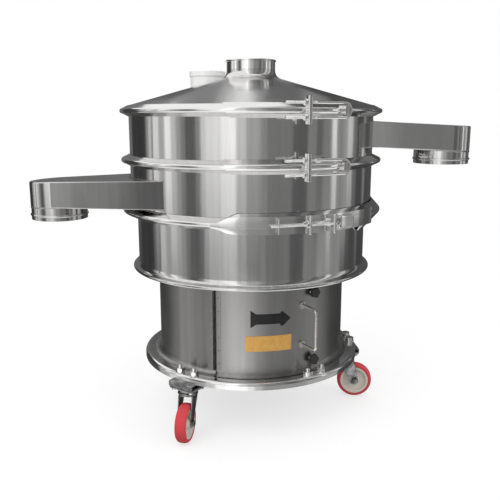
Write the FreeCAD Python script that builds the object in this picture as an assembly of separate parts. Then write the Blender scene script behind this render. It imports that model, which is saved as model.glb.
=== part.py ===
import FreeCAD, Part
import math
import os

# Round vibrating screen on swivel casters, in millimetres.
# +Z is up and the origin is on the floor on the machine's axis. The front, with the door, faces -Y.
# An azimuth is measured in degrees from the front (0) towards +X (90).

# Clearances
WELD_GAP = 0.3
PIN_GAP = 0.05
CLAMP_GAP = 0.3
BOLT_GAP = 0.4

# Casters
WHEEL_D = 118.0
TREAD_W = 34.0
TREAD_T = 11.0
TREAD_SHOULDER = 6.0
HUB_BOSS_D = 28.0
HUB_BOSS_OUT = 1.0
HUB_RIM_T = 8.0
HUB_WEB_T = 10.0
HUB_RIM_INSET = 1.5
HUB_DRAFT = 3.0
AXLE_D = 12.0
AXLE_SIDE_GAP = 1.0
AXLE_NUT_FLAT = 19.0
AXLE_NUT_H = 7.0
CASTER_TRAIL = 32.0
CASTER_HEIGHT = 165.0
CASTER_PLATE_T = 4.0
CASTER_PLATE_LONG = 88.0
CASTER_PLATE_DEEP = 72.0
FORK_SHEET = 3.5
FORK_APRON = 8.0
RACE_CUP_OUT = 2.0
RACE_D = 58.0
RACE_H = 12.0
KINGPIN_D = 14.0
KING_NUT_D = 24.0
KING_NUT_H = 6.0
CASTER_INSET = 21.5
CASTER_AZIMUTHS = {"front_left": -35.0, "right": 96.0, "rear_left": 205.0}
CASTER_TURNS = {"front_left": -12.0, "right": 84.0, "rear_left": 214.0}

# Caster pads, short lengths of box section under the base ring
PAD_H = 19.0
PAD_WALL = 4.0
PAD_RISER_W = 56.0
PAD_RISER_DEEP = 44.0
PAD_RISER_GAP = 4.0

# Base ring and drum
BASE_RING_OUT = 51.5
BASE_RING_IN = 32.0
BASE_RING_BEND = 6.0
BASE_RING_SHEET = 3.0
BASE_SKIRT_H = 22.0
DRUM_R = 302.0
DRUM_SHEET = 2.5
DRUM_H = 302.0
SPRING_RING_T = 5.0
SPRING_LEDGE_IN = 14.0
SPRING_LEDGE_OUT = 44.0

# Door opening and door
OPENING_LEFT = -16.0
OPENING_RIGHT = 33.0
OPENING_UP = 26.0
OPENING_H = 222.0
DOOR_LAP_LEFT = 3.6
DOOR_LAP_RIGHT = 7.5
DOOR_LAP_BOTTOM = 17.0
DOOR_LAP_TOP = 17.0
DOOR_SHEET = 2.0
DOOR_CORNER_R = 14.0
GASKET_T = 2.0
GASKET_W = 9.0
GASKET_LAP = 1.5
HINGE_PIN_D = 5.0
HINGE_BARREL_D = 10.0
HINGE_LEAF_T = 1.5
HINGE_LEAF_W = 20.0
HINGE_KNUCKLES = 9
HINGE_END = 8.0
HINGE_AXIAL_GAP = 0.6
HANDLE_AZIMUTH = 29.6
HANDLE_ROD_D = 10.0
HANDLE_SPAN = 121.0
HANDLE_LOW = 80.0
HANDLE_REACH = 72.0
HANDLE_BEND = 16.0
HANDLE_FOOT_D = 22.0
HANDLE_FOOT_T = 3.0
KNOB_AZIMUTH = 36.2
KNOB_LOW = 28.0
KNOB_DOWN = 20.0
KNOB_LOBES = 5
KNOB_R = 17.0
KNOB_T = 14.0
KNOB_NECK_D = 16.0
KNOB_NECK_L = 8.0
KNOB_STUD_D = 8.0

# Springs
SPRING_COUNT = 8
SPRINGS_OUT = 22.0
SPRING_COIL_D = 32.0
SPRING_WIRE_D = 6.0
SPRING_H = 84.0
SPRING_TURNS = 4.5
SPRING_STEPS = 14
SPRING_SIDES = 6

# Clamped joints between the decks
DECK_STEP = 16.0
DECK_SHEET = 2.0
FLANGE_W = 20.0
FLANGE_TIP = 4.0
FLANGE_ROOT = 14.0
GASKET_RING_T = 6.0
GASKET_RING_INSET = 1.0
CLAMPED_SHEET = 2.0
RIM_INSET = 1.5
CLAMP_NOSE_OUT = 7.0
CLAMP_FOOT_GAP = 2.0
CLAMP_SHEET = 3.0
CLAMP_SPLIT_AZIMUTH = 14.5
CLAMP_SPLIT = 3.0

# Heights of the sections, from one clamp's middle to the next
PAN_PLATE_T = 6.0
PAN_ROOM = 73.0
PAN_GAP = 19.0
PAN_SHEET = 2.0
PAN_SKIRT_H = 181.0
PAN_FLARE_OUT = 18.5
PAN_FLARE_H = 20.0
PAN_BEAD_D = 9.0
LOWER_DECK_H = 153.0
UPPER_DECK_H = 148.0
DOME_RISE = 38.0
DOME_MARGIN = 6.0

# Screen
SCREEN_RING_W = 25.0
MESH_MARGIN = 4.0
MESH_T = 1.0

# Lid
LID_SHEET = 2.0
LID_EDGE = 16.0
LID_SHOULDER = 1.0
LID_TOP = 103.0
INLET_R = 76.0
INLET_SHEET = 2.0
INLET_H = 155.0
INLET_SUNK = 14.0
INLET_LIP_D = 6.0
PORT_X = -147.0
PORT_Y = 164.0
PORT_R = 57.5
PORT_SHEET = 2.0
PORT_H = 124.0
PORT_CAP_T = 7.0
PORT_CAP_LAP = 3.0
PORT_CAP_RIM = 10.0

# Discharge chutes
CHUTE_SHEET = 2.0
CHUTE_HALF_W = 88.0
CHUTE_H = 81.0
CHUTE_SLOPE = 2.9
CHUTE_FLARE = 24.6
CHUTE_OFFSET = 38.0
CHUTE_ROOT_R = 120.0
LOWER_CHUTE_OUT = 231.0
UPPER_CHUTE_OUT = 239.0
LOWER_CHUTE_UP = 7.0
UPPER_CHUTE_UP = 24.0
SPOUT_R = 87.0
SPOUT_SHEET = 2.0
SPOUT_DROP = 42.0
SPOUT_BEAD_UP = 15.0
SPOUT_BEAD_D = 7.0

# Clamp saddles and draw bolts
SADDLE_SHEET = 2.5
SADDLE_FROM = -9.6
SADDLE_TO = 34.0
BAND_FROM = -15.5
BAND_FULL_FROM = -4.0
BAND_TO = 98.0
BAND_UP = 30.0
BAND_DOWN = 30.0
BAND_FACE_H = 20.0
BAND_FACE_IN = 1.2
BAND_NOSE_H = 9.0
BAND_NOSE_IN = 5.0
BAND_TOP_IN = 24.0
BAND_LOW_IN = 30.0
BAND_TIP_UP = 4.0
BAND_TIP_DOWN = 8.0
SKIRT_FROM = 60.0
SKIRT_DOWN = 51.0
SKIRT_IN = 42.0
BOLT_AZIMUTH = 24.5
BOLT_ROD_D = 8.0
BOLT_PITCH = 38.0
BOLT_STANDOFF = 12.0
BOLT_LEFT = 98.0
BOLT_RIGHT = 79.0
BAR_AT = -29.0
BAR_W = 13.0
BAR_H = 74.0
BAR_DEPTH = 20.0
NUT_FLAT = 15.0
NUT_H = 6.5
LUG_W = 18.0
LUG_DEPTH = 20.0
TEE_AZIMUTH = 18.0
TEE_ROD_D = 6.0
TEE_STANDOFF = 9.0
TEE_LEFT = 82.0
TEE_END = 5.0
TEE_PIN_AT = -60.5
TEE_PIN_D = 5.0
TEE_PIN_H = 42.0
POSTS_AT = (30.4, 102.3)
POST_D = 9.0
POST_H = 52.0
STRAP_FROM = 35.3
STRAP_SWEEP = 7.4
STRAP_OUT = 12.0
STRAP_H = 36.0

# Vibration motor under the pan
MOTOR_R = 82.0
MOTOR_H = 236.0
MOTOR_FINS = 18
MOTOR_FIN_H = 9.0
MOTOR_FIN_T = 4.0
MOTOR_END_H = 18.0
MOTOR_FLANGE_R = 124.0
MOTOR_FLANGE_T = 14.0
MOTOR_TOP_R = 78.0
MOTOR_TOP_H = 30.0
MOTOR_HOLE_GAP = 6.0
MOTOR_SHAFT_D = 30.0
MOTOR_SHAFT_OUT = 44.0
WEIGHT_R = 84.0
WEIGHT_T = 26.0
WEIGHT_SWEEP = 150.0
WEIGHT_CLEAR = 8.0

# Heights that follow
PAD_Z = CASTER_HEIGHT
SKIRT_Z = PAD_Z + PAD_H
RING_TOP_Z = SKIRT_Z + BASE_SKIRT_H
DRUM_TOP_Z = RING_TOP_Z + DRUM_H
SPRING_Z = DRUM_TOP_Z + SPRING_RING_T
PLATE_Z = SPRING_Z + SPRING_H
PAN_TOP_Z = PLATE_Z + PAN_PLATE_T
CLAMP_Z = {"lower": PAN_TOP_Z + PAN_ROOM}
CLAMP_Z["middle"] = CLAMP_Z["lower"] + LOWER_DECK_H
CLAMP_Z["top"] = CLAMP_Z["middle"] + UPPER_DECK_H
OPENING_Z = RING_TOP_Z + OPENING_UP
DOOR_Z = OPENING_Z - DOOR_LAP_BOTTOM
DOOR_H = OPENING_H + DOOR_LAP_BOTTOM + DOOR_LAP_TOP
KNOB_HIGH = DOOR_H - KNOB_DOWN

# Radii that follow, from the drum outwards
BASE_RING_R = DRUM_R + BASE_RING_OUT
BASE_RING_HOLE_R = DRUM_R - BASE_RING_IN
CASTER_RING_R = BASE_RING_R - CASTER_INSET
SPRING_RING_IN = DRUM_R - SPRING_LEDGE_IN
SPRING_RING_OUT = DRUM_R + SPRING_LEDGE_OUT
SPRING_RING_R = DRUM_R + SPRINGS_OUT
PAN_R = SPRING_RING_OUT + PAN_GAP
PAN_FLARE_R = PAN_R + PAN_FLARE_OUT
DECK_BORE_R = PAN_R + DECK_STEP
DECK_R = DECK_BORE_R + DECK_SHEET
FLANGE_R = DECK_R + FLANGE_W
CLAMP_NOSE_R = FLANGE_R + CLAMP_NOSE_OUT
SCREEN_RING_IN = DECK_BORE_R - SCREEN_RING_W
MESH_R = DECK_BORE_R - MESH_MARGIN
LOWER_CHUTE_REACH = DECK_R + LOWER_CHUTE_OUT
UPPER_CHUTE_REACH = DECK_R + UPPER_CHUTE_OUT
CUTTER = 3.0 * DRUM_R
GASKET_IN_R = DRUM_R + WELD_GAP
GASKET_OUT_R = GASKET_IN_R + GASKET_T
DOOR_IN_R = GASKET_OUT_R
DOOR_OUT_R = DOOR_IN_R + DOOR_SHEET
LEAF_OUT_R = DOOR_OUT_R + HINGE_LEAF_T
HINGE_R = DOOR_OUT_R + HINGE_BARREL_D / 2 + 0.5
DOOR_LEFT = OPENING_LEFT - DOOR_LAP_LEFT
DOOR_RIGHT = OPENING_RIGHT + DOOR_LAP_RIGHT
HINGE_AZIMUTH = DOOR_LEFT - 0.7


def vec(x, y, z=0.0):
    return FreeCAD.Vector(x, y, z)


def polar(radius, azimuth, z=0.0):
    """The point at a radius and an azimuth from the front."""
    angle = math.radians(azimuth)
    return vec(radius * math.sin(angle), -radius * math.cos(angle), z)


def turned(shape, azimuth):
    """The shape, drawn at the front, turned round the machine's axis to an azimuth."""
    copy = shape.copy()
    copy.rotate(vec(0, 0), vec(0, 0, 1), azimuth)
    return copy


def moved(shape, x, y, z):
    copy = shape.copy()
    copy.translate(vec(x, y, z))
    return copy


def fuse(*shapes):
    """One solid from shapes that share faces or volume, with the seams between them removed."""
    whole = shapes[0]
    for shape in shapes[1:]:
        whole = whole.fuse(shape)
    return whole.removeSplitter()


def outline(points):
    """A closed wire from points; a pair of points in the list is an arc's middle and its end."""
    edges = []
    here = points[0]
    for step in points[1:] + [points[0]]:
        if isinstance(step, tuple):
            edges.append(Part.Arc(here, step[0], step[1]).toShape())
            here = step[1]
        else:
            if (step - here).Length > 1e-6:
                edges.append(Part.LineSegment(here, step).toShape())
            here = step
    return Part.Wire(edges)


def profile(points):
    """A face in the plane of the machine's axis, from (radius, z) pairs and arcs of two such pairs."""
    steps = []
    for step in points:
        if isinstance(step[0], tuple):
            steps.append((vec(step[0][0], 0, step[0][1]), vec(step[1][0], 0, step[1][1])))
        else:
            steps.append(vec(step[0], 0, step[1]))
    return Part.Face(outline(steps))


def revolved(points, start=0.0, sweep=360.0):
    """A profile turned about the machine's axis, from one azimuth through a sweep."""
    solid = profile(points).revolve(vec(0, 0), vec(0, 0, 1), sweep)
    return turned(solid, start - 90.0)


def tube(outer, inner, z0, z1, start=0.0, sweep=360.0):
    """A round wall, whole or a stretch of it."""
    return revolved([(inner, z0), (outer, z0), (outer, z1), (inner, z1)], start, sweep)


def disc(radius, z0, z1):
    return Part.makeCylinder(radius, z1 - z0, vec(0, 0, z0))


def rod(diameter, start, end):
    return Part.makeCylinder(diameter / 2, (end - start).Length, start, end - start)


def block(x0, x1, y0, y1, z0, z1):
    return Part.makeBox(x1 - x0, y1 - y0, z1 - z0, vec(x0, y0, z0))


def hexagon(flat, height, base, direction):
    """A hex nut or head: flat is the width across its flats."""
    corner = flat / math.sqrt(3)
    turns = [math.radians(60 * i) for i in range(6)]
    points = [vec(corner * math.cos(turn), corner * math.sin(turn)) for turn in turns]
    solid = Part.Face(outline(points)).extrude(vec(0, 0, height))
    solid.Placement = FreeCAD.Placement(base, FreeCAD.Rotation(vec(0, 0, 1), direction))
    return solid


def save(name, shape):
    shape.exportStep("parts/" + name + ".step")


def caster_frames():
    """Each caster's name, swivel point and the turn of its fork."""
    for name, azimuth in CASTER_AZIMUTHS.items():
        yield name, polar(CASTER_RING_R, azimuth), CASTER_TURNS[name], azimuth


def caster_pad():
    """A box section under the skirt, and the riser that stands inside the skirt up to the ring."""
    half = CASTER_PLATE_LONG / 2
    deep = CASTER_PLATE_DEEP / 2
    middle = -CASTER_RING_R
    shell = block(-half, half, middle - deep, middle + deep, PAD_Z, SKIRT_Z)
    hollow = block(-half, half, middle - deep + PAD_WALL, middle + deep - PAD_WALL,
                   PAD_Z + PAD_WALL, SKIRT_Z - PAD_WALL)
    riser_front = -(BASE_RING_R - BASE_RING_SHEET - PAD_RISER_GAP)
    riser = block(-PAD_RISER_W / 2, PAD_RISER_W / 2, riser_front, riser_front + PAD_RISER_DEEP,
                  SKIRT_Z, RING_TOP_Z - BASE_RING_SHEET)
    return fuse(shell.cut(hollow), riser)


def caster_plate():
    """The top plate, the raceway under it, and the kingpin with its nut."""
    half = CASTER_PLATE_LONG / 2
    deep = CASTER_PLATE_DEEP / 2
    top = PAD_Z
    plate = block(-half, half, -deep, deep, top - CASTER_PLATE_T, top)
    race_top = top - CASTER_PLATE_T
    race = disc(RACE_D / 2, race_top - RACE_H, race_top)
    crown_top = race_top - RACE_H - WELD_GAP
    crown_low = crown_top - FORK_SHEET - RACE_H / 2
    pin = rod(KINGPIN_D, vec(0, 0, crown_low - WELD_GAP - KING_NUT_H), vec(0, 0, race_top - RACE_H))
    nut = hexagon(KING_NUT_D, KING_NUT_H, vec(0, 0, crown_low - WELD_GAP - KING_NUT_H), vec(0, 0, 1))
    return fuse(plate, race, pin, nut)


def caster_fork():
    """The turning cup, the crown, two legs that lean back to the axle, and the axle bolt."""
    crown_top = PAD_Z - CASTER_PLATE_T - RACE_H - WELD_GAP
    crown_low = crown_top - RACE_H / 2 - FORK_SHEET
    cup = disc(RACE_D / 2 + RACE_CUP_OUT, crown_top - RACE_H / 2, crown_top)
    near = TREAD_W / 2 + HUB_BOSS_OUT + AXLE_SIDE_GAP
    far = near + FORK_SHEET
    front = RACE_D / 2
    rear = -RACE_D / 2 + RACE_CUP_OUT
    plate = block(-far, far, rear, front, crown_low, crown_low + FORK_SHEET)
    axle_z = WHEEL_D / 2
    shoulder_z = axle_z + FORK_SHEET
    back = -CASTER_TRAIL
    boss = HUB_BOSS_D / 2
    leg_face = outline([vec(0, front, crown_low + FORK_SHEET), vec(0, rear, crown_low + FORK_SHEET),
                        vec(0, back - boss, shoulder_z),
                        (vec(0, back, axle_z - boss), vec(0, back + boss, shoulder_z)),
                        vec(0, front, crown_low - FORK_APRON)])
    leg = Part.Face(leg_face).extrude(vec(FORK_SHEET, 0, 0))
    right = moved(leg, near, 0, 0)
    left = moved(leg, -far, 0, 0)
    axle = rod(AXLE_D, vec(-far, back, axle_z), vec(far, back, axle_z))
    head = hexagon(AXLE_NUT_FLAT, AXLE_NUT_H, vec(-far - AXLE_NUT_H, back, axle_z), vec(1, 0, 0))
    nut = hexagon(AXLE_NUT_FLAT, AXLE_NUT_H, vec(far, back, axle_z), vec(1, 0, 0))
    hole = rod(KINGPIN_D + 2 * PIN_GAP, vec(0, 0, crown_low - 1), vec(0, 0, crown_top + 1))
    return fuse(cup, plate, right, left, axle, head, nut).cut(hole)


def about_axle(points):
    """A profile of (radius, half-width) steps turned about the wheel's axle."""
    solid = profile(points).revolve(vec(0, 0), vec(0, 0, 1), 360.0)
    solid.rotate(vec(0, 0), vec(0, 1), 90.0)
    solid.translate(vec(0, -CASTER_TRAIL, WHEEL_D / 2))
    return solid


def caster_tread():
    outer = WHEEL_D / 2
    inner = outer - TREAD_T
    half = TREAD_W / 2
    shoulder = TREAD_SHOULDER
    cut = shoulder * (1 - math.sqrt(0.5))
    return about_axle([(inner, -half), (outer - shoulder, -half),
                       ((outer - cut, -half + cut), (outer, -half + shoulder)), (outer, half - shoulder),
                       ((outer - cut, half - cut), (outer - shoulder, half)), (inner, half)])


def caster_hub():
    """Boss, thinner web and rim, bored for the axle bolt."""
    rim_out = WHEEL_D / 2 - TREAD_T
    rim_in = rim_out - HUB_RIM_T
    rim = TREAD_W / 2 - HUB_RIM_INSET
    web = HUB_WEB_T / 2
    boss_r = HUB_BOSS_D / 2
    boss = TREAD_W / 2 + HUB_BOSS_OUT
    bore = AXLE_D / 2 + PIN_GAP
    slope = HUB_DRAFT
    side = [(bore, -boss), (boss_r, -boss), (boss_r + slope, -web), (rim_in - slope, -web), (rim_in, -rim),
            (rim_out, -rim)]
    return about_axle(side + [(radius, -z) for radius, z in reversed(side)])


def base_ring():
    """The flat ring under the drum, with its skirt turned down at the edge."""
    top = RING_TOP_Z
    sheet = BASE_RING_SHEET
    bend = BASE_RING_BEND
    cut = bend * (1 - math.sqrt(0.5))
    inner_bend = bend - sheet
    inner_cut = inner_bend * (1 - math.sqrt(0.5))
    edge = BASE_RING_R
    return revolved([(BASE_RING_HOLE_R, top - sheet), (edge - bend, top - sheet),
                     ((edge - sheet - inner_cut, top - sheet - inner_cut), (edge - sheet, top - bend)),
                     (edge - sheet, SKIRT_Z), (edge, SKIRT_Z), (edge, top - bend),
                     ((edge - cut, top - cut), (edge - bend, top)), (BASE_RING_HOLE_R, top)])


def base_drum():
    """The round wall with the door opening cut through it."""
    wall = tube(DRUM_R, DRUM_R - DRUM_SHEET, RING_TOP_Z, DRUM_TOP_Z)
    opening = tube(DRUM_R + DRUM_SHEET, DRUM_R - 2 * DRUM_SHEET, OPENING_Z, OPENING_Z + OPENING_H,
                   OPENING_LEFT, OPENING_RIGHT - OPENING_LEFT)
    return wall.cut(opening)


def spring_ring():
    return tube(SPRING_RING_OUT, SPRING_RING_IN, DRUM_TOP_Z, SPRING_Z)


def knuckle_heights(moving):
    """The lower and upper ends of the hinge knuckles that belong to one leaf."""
    length = DOOR_H - 2 * HINGE_END
    pitch = length / HINGE_KNUCKLES
    for i in range(1 if moving else 0, HINGE_KNUCKLES, 2):
        low = DOOR_Z + HINGE_END + i * pitch
        yield low + HINGE_AXIAL_GAP / 2, low + pitch - HINGE_AXIAL_GAP / 2


def hinge_fixed_leaf():
    """The leaf on the drum, its knuckles and the pin through all of them."""
    low = DOOR_Z + HINGE_END
    high = DOOR_Z + DOOR_H - HINGE_END
    axis = polar(HINGE_R, HINGE_AZIMUTH)
    leaf_sweep = math.degrees(HINGE_LEAF_W / DRUM_R)
    barrel_sweep = math.degrees(HINGE_BARREL_D / 2 / HINGE_R)
    leaf_in = DRUM_R + WELD_GAP
    leaf_end = HINGE_AZIMUTH - barrel_sweep * 0.35
    leaf = tube(leaf_in + HINGE_LEAF_T, leaf_in, low, high, leaf_end - leaf_sweep, leaf_sweep)
    pieces = [leaf]
    for z0, z1 in knuckle_heights(False):
        barrel = Part.makeCylinder(HINGE_BARREL_D / 2, z1 - z0, vec(axis.x, axis.y, z0))
        web = tube(HINGE_R, leaf_in, z0, z1, leaf_end - barrel_sweep * 0.6, barrel_sweep * 0.6)
        pieces += [barrel, web]
    pin = Part.makeCylinder(HINGE_PIN_D / 2, high - low, vec(axis.x, axis.y, low))
    return fuse(*pieces, pin)


def door_hinge_leaf():
    """The door's leaf, lapped over the panel, with knuckles bored for the pin."""
    low = DOOR_Z + HINGE_END
    high = DOOR_Z + DOOR_H - HINGE_END
    axis = polar(HINGE_R, HINGE_AZIMUTH)
    leaf_sweep = math.degrees(HINGE_LEAF_W / DOOR_OUT_R)
    leaf_from = HINGE_AZIMUTH + 0.1
    leaf = tube(LEAF_OUT_R, DOOR_OUT_R, low, high, leaf_from, leaf_sweep)
    relief_r = HINGE_BARREL_D / 2 + 0.5
    for z0, z1 in knuckle_heights(False):
        leaf = leaf.cut(Part.makeCylinder(relief_r, z1 - z0 + HINGE_AXIAL_GAP * 2,
                                          vec(axis.x, axis.y, z0 - HINGE_AXIAL_GAP)))
    pieces = [leaf]
    for z0, z1 in knuckle_heights(True):
        barrel = Part.makeCylinder(HINGE_BARREL_D / 2, z1 - z0, vec(axis.x, axis.y, z0))
        pieces.append(barrel)
        pieces.append(tube(HINGE_R, DOOR_OUT_R, z0, z1, leaf_from, 0.5))
    bore = Part.makeCylinder(HINGE_PIN_D / 2 + PIN_GAP, high - low, vec(axis.x, axis.y, low))
    return fuse(*pieces).cut(bore)


def door_panel():
    """The curved door plate, larger than the opening all round, with rounded free corners."""
    plate = tube(DOOR_OUT_R, DOOR_IN_R, DOOR_Z, DOOR_Z + DOOR_H, DOOR_LEFT, DOOR_RIGHT - DOOR_LEFT)
    size = DOOR_CORNER_R
    front = -DOOR_OUT_R - size
    rear = -DOOR_IN_R + size
    for z, sign in ((DOOR_Z, 1), (DOOR_Z + DOOR_H, -1)):
        centre_z = z + sign * size
        corner = block(-size, size, front, rear, min(z, centre_z), max(z, centre_z))
        keep = rod(2 * size, vec(-size, front, centre_z), vec(-size, rear, centre_z))
        plate = plate.cut(turned(corner.cut(keep), DOOR_RIGHT))
    for up in (KNOB_LOW, KNOB_HIGH):
        hole = rod(KNOB_STUD_D + 2 * BOLT_GAP, vec(0, front, DOOR_Z + up), vec(0, rear, DOOR_Z + up))
        plate = plate.cut(turned(hole, KNOB_AZIMUTH))
    return plate


def door_gasket():
    """The rubber strip round the opening, on the inside of the door."""
    side = math.degrees(GASKET_W / DRUM_R)
    lap = math.degrees(GASKET_LAP / DRUM_R)
    left = OPENING_LEFT + lap
    right = OPENING_RIGHT + lap
    low = OPENING_Z - GASKET_LAP
    high = OPENING_Z + OPENING_H + GASKET_LAP
    whole = tube(GASKET_OUT_R - WELD_GAP, GASKET_IN_R, low - GASKET_W, high + GASKET_W,
                 left - side, right - left + 2 * side)
    hole = tube(GASKET_OUT_R + GASKET_T, GASKET_IN_R - GASKET_T, low, high, left, right - left)
    return whole.cut(hole)


def door_handle():
    """A round rod bent into a bow, on two round feet."""
    base = DOOR_OUT_R - 0.1
    out = DOOR_OUT_R + HANDLE_REACH
    low = DOOR_Z + HANDLE_LOW
    high = low + HANDLE_SPAN
    bend = HANDLE_BEND
    cut = bend * (1 - math.sqrt(0.5))
    path = Part.Wire([
        Part.LineSegment(vec(0, -base, low), vec(0, -out + bend, low)).toShape(),
        Part.Arc(vec(0, -out + bend, low), vec(0, -out + cut, low + cut), vec(0, -out, low + bend)).toShape(),
        Part.LineSegment(vec(0, -out, low + bend), vec(0, -out, high - bend)).toShape(),
        Part.Arc(vec(0, -out, high - bend), vec(0, -out + cut, high - cut),
                 vec(0, -out + bend, high)).toShape(),
        Part.LineSegment(vec(0, -out + bend, high), vec(0, -base, high)).toShape()])
    ring = Part.Wire([Part.Circle(vec(0, -base, low), vec(0, 1, 0), HANDLE_ROD_D / 2).toShape()])
    bow = path.makePipeShell([ring], True, True)
    foot_out = -DOOR_OUT_R - HANDLE_FOOT_T
    feet = [rod(HANDLE_FOOT_D, vec(0, -DOOR_IN_R, z), vec(0, foot_out, z)) for z in (low, high)]
    whole = fuse(bow, *feet)
    trim = disc(DOOR_OUT_R, low - HANDLE_FOOT_D, high + HANDLE_FOOT_D)
    return turned(whole, HANDLE_AZIMUTH).cut(trim)


def door_knob(z):
    """A lobed hand knob on its neck and stud."""
    face = -DOOR_OUT_R - KNOB_NECK_L
    lobes = [Part.makeCylinder(KNOB_R * 0.72, KNOB_T, vec(0, face, z), vec(0, -1, 0))]
    for i in range(KNOB_LOBES):
        angle = math.radians(90 + i * 360.0 / KNOB_LOBES)
        centre = vec(KNOB_R * 0.66 * math.cos(angle), face, z + KNOB_R * 0.66 * math.sin(angle))
        lobes.append(Part.makeCylinder(KNOB_R * 0.36, KNOB_T, centre, vec(0, -1, 0)))
    neck = rod(KNOB_NECK_D, vec(0, face, z), vec(0, -DOOR_OUT_R - WELD_GAP, z))
    stud = rod(KNOB_STUD_D, vec(0, face, z), vec(0, -DOOR_IN_R - WELD_GAP, z))
    return turned(fuse(*lobes, neck, stud), KNOB_AZIMUTH)


def flange_slope():
    return (FLANGE_ROOT - FLANGE_TIP) / (FLANGE_R - DECK_R)


def deck_points(low, high):
    """A round wall with a wedge-shaped flange at each end."""
    half = GASKET_RING_T / 2
    return [(DECK_BORE_R, low + half), (FLANGE_R, low + half), (FLANGE_R, low + FLANGE_TIP),
            (DECK_R, low + FLANGE_ROOT), (DECK_R, high - FLANGE_ROOT), (FLANGE_R, high - FLANGE_TIP),
            (FLANGE_R, high - half), (DECK_BORE_R, high - half)]


def pan_shell():
    """The pan's wall, its clamp flange, and the flared foot rolled to a bead."""
    top = CLAMP_Z["lower"]
    half = GASKET_RING_T / 2
    inner = PAN_R - PAN_SHEET
    flare_z = top - PAN_SKIRT_H + PAN_FLARE_H
    low = top - PAN_SKIRT_H
    run = PAN_FLARE_R - PAN_BEAD_D - PAN_R
    mid_r = PAN_R + run * 0.25
    mid_z = flare_z - PAN_FLARE_H * 0.62
    web_z = top - half - 2 * PAN_SHEET
    roll = PAN_BEAD_D / 6
    return revolved([(inner, top - half), (FLANGE_R, top - half), (FLANGE_R, top - FLANGE_TIP),
                     (DECK_R, top - FLANGE_ROOT), (DECK_BORE_R, top - FLANGE_ROOT),
                     (DECK_BORE_R - PAN_SHEET, web_z), (PAN_R, web_z), (PAN_R, flare_z),
                     ((mid_r, mid_z), (PAN_R + run, low + roll)),
                     ((PAN_FLARE_R, low - PAN_BEAD_D * 0.4), (PAN_R + run, low - PAN_BEAD_D + roll)),
                     ((PAN_R + run - roll, low - PAN_BEAD_D / 2),
                      (PAN_R + run - 0.8 * roll, low - 0.6 * roll)),
                     ((mid_r - PAN_SHEET, mid_z), (inner, flare_z))])


def pan_base_plate():
    hole = MOTOR_TOP_R + MOTOR_HOLE_GAP
    return tube(PAN_R - PAN_SHEET - WELD_GAP, hole, PLATE_Z, PAN_TOP_Z)


def product_dome():
    """The shallow dome that sheds fines to the lower chute; its rim is clamped."""
    z = CLAMP_Z["lower"]
    half = CLAMPED_SHEET / 2
    edge = FLANGE_R - RIM_INSET
    foot = DECK_BORE_R - DOME_MARGIN
    radius = (foot * foot + DOME_RISE * DOME_RISE) / (2 * DOME_RISE)
    middle = math.sqrt(radius * radius - foot * foot / 4) - (radius - DOME_RISE)
    return revolved([(0, z - half + DOME_RISE), ((foot / 2, z - half + middle), (foot, z - half)),
                     (edge, z - half), (edge, z + half), (foot, z + half),
                     ((foot / 2, z + half + middle), (0, z + half + DOME_RISE))])


def channel_gasket(z):
    """A rubber channel round the edge of a clamped sheet."""
    half = GASKET_RING_T / 2
    t = CLAMPED_SHEET / 2
    edge = FLANGE_R - RIM_INSET
    inner = DECK_BORE_R + GASKET_RING_INSET
    return revolved([(inner, z - half), (FLANGE_R, z - half), (FLANGE_R, z + half), (inner, z + half),
                     (inner, z + t), (edge, z + t), (edge, z - t), (inner, z - t)])


def clamp_gaskets():
    z = CLAMP_Z["top"]
    half = GASKET_RING_T / 2
    flat = tube(FLANGE_R, DECK_BORE_R + GASKET_RING_INSET, z - half, z + half)
    return Part.makeCompound([channel_gasket(CLAMP_Z["lower"]), channel_gasket(CLAMP_Z["middle"]), flat])


def screen_ring():
    z = CLAMP_Z["middle"]
    return tube(FLANGE_R - RIM_INSET, SCREEN_RING_IN, z - CLAMPED_SHEET / 2, z + CLAMPED_SHEET / 2)


def screen_mesh():
    z = CLAMP_Z["middle"] + CLAMPED_SHEET / 2
    return disc(MESH_R, z, z + MESH_T)


def chute_outline(reach, inset):
    """The chute's plan on the left: one straight side, a half-round end, one flared side."""
    half = CHUTE_HALF_W - inset
    y = -CHUTE_OFFSET
    widening = (reach - CHUTE_ROOT_R) * math.tan(math.radians(CHUTE_FLARE))
    return [vec(-CHUTE_ROOT_R, y + half), vec(-reach, y + half),
            (vec(-reach - half, y), vec(-reach, y - half)), vec(-CHUTE_ROOT_R, y - half - widening)]


def chute_slab(reach, low, inset):
    """The space between the chute's sloping floor and roof, inset by a sheet."""
    slab = block(-reach - CUTTER, CUTTER, -CUTTER, CUTTER, low + inset, low + CHUTE_H - inset)
    slab.rotate(vec(-reach, 0, low), vec(0, 1, 0), -CHUTE_SLOPE)
    return slab


def chute_solid(reach, low, inset):
    """The chute as a solid, grown or shrunk by an inset."""
    plan = Part.Face(outline(chute_outline(reach, inset)))
    prism = plan.extrude(vec(0, 0, 2 * CUTTER))
    prism.translate(vec(0, 0, low - CUTTER))
    return prism.common(chute_slab(reach, low, inset))


def chute_duct(reach, low):
    """The duct from the deck's wall to over the spout, with the spout's hole in its floor."""
    duct = chute_solid(reach, low, 0.0).cut(chute_solid(reach, low, CHUTE_SHEET))
    duct = duct.cut(disc(DECK_R + WELD_GAP, low - CHUTE_H, low + 3 * CHUTE_H))
    hole = Part.makeCylinder(SPOUT_R - SPOUT_SHEET, CHUTE_H, vec(-reach, -CHUTE_OFFSET, low - CHUTE_H / 2))
    return duct.cut(hole)


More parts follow.
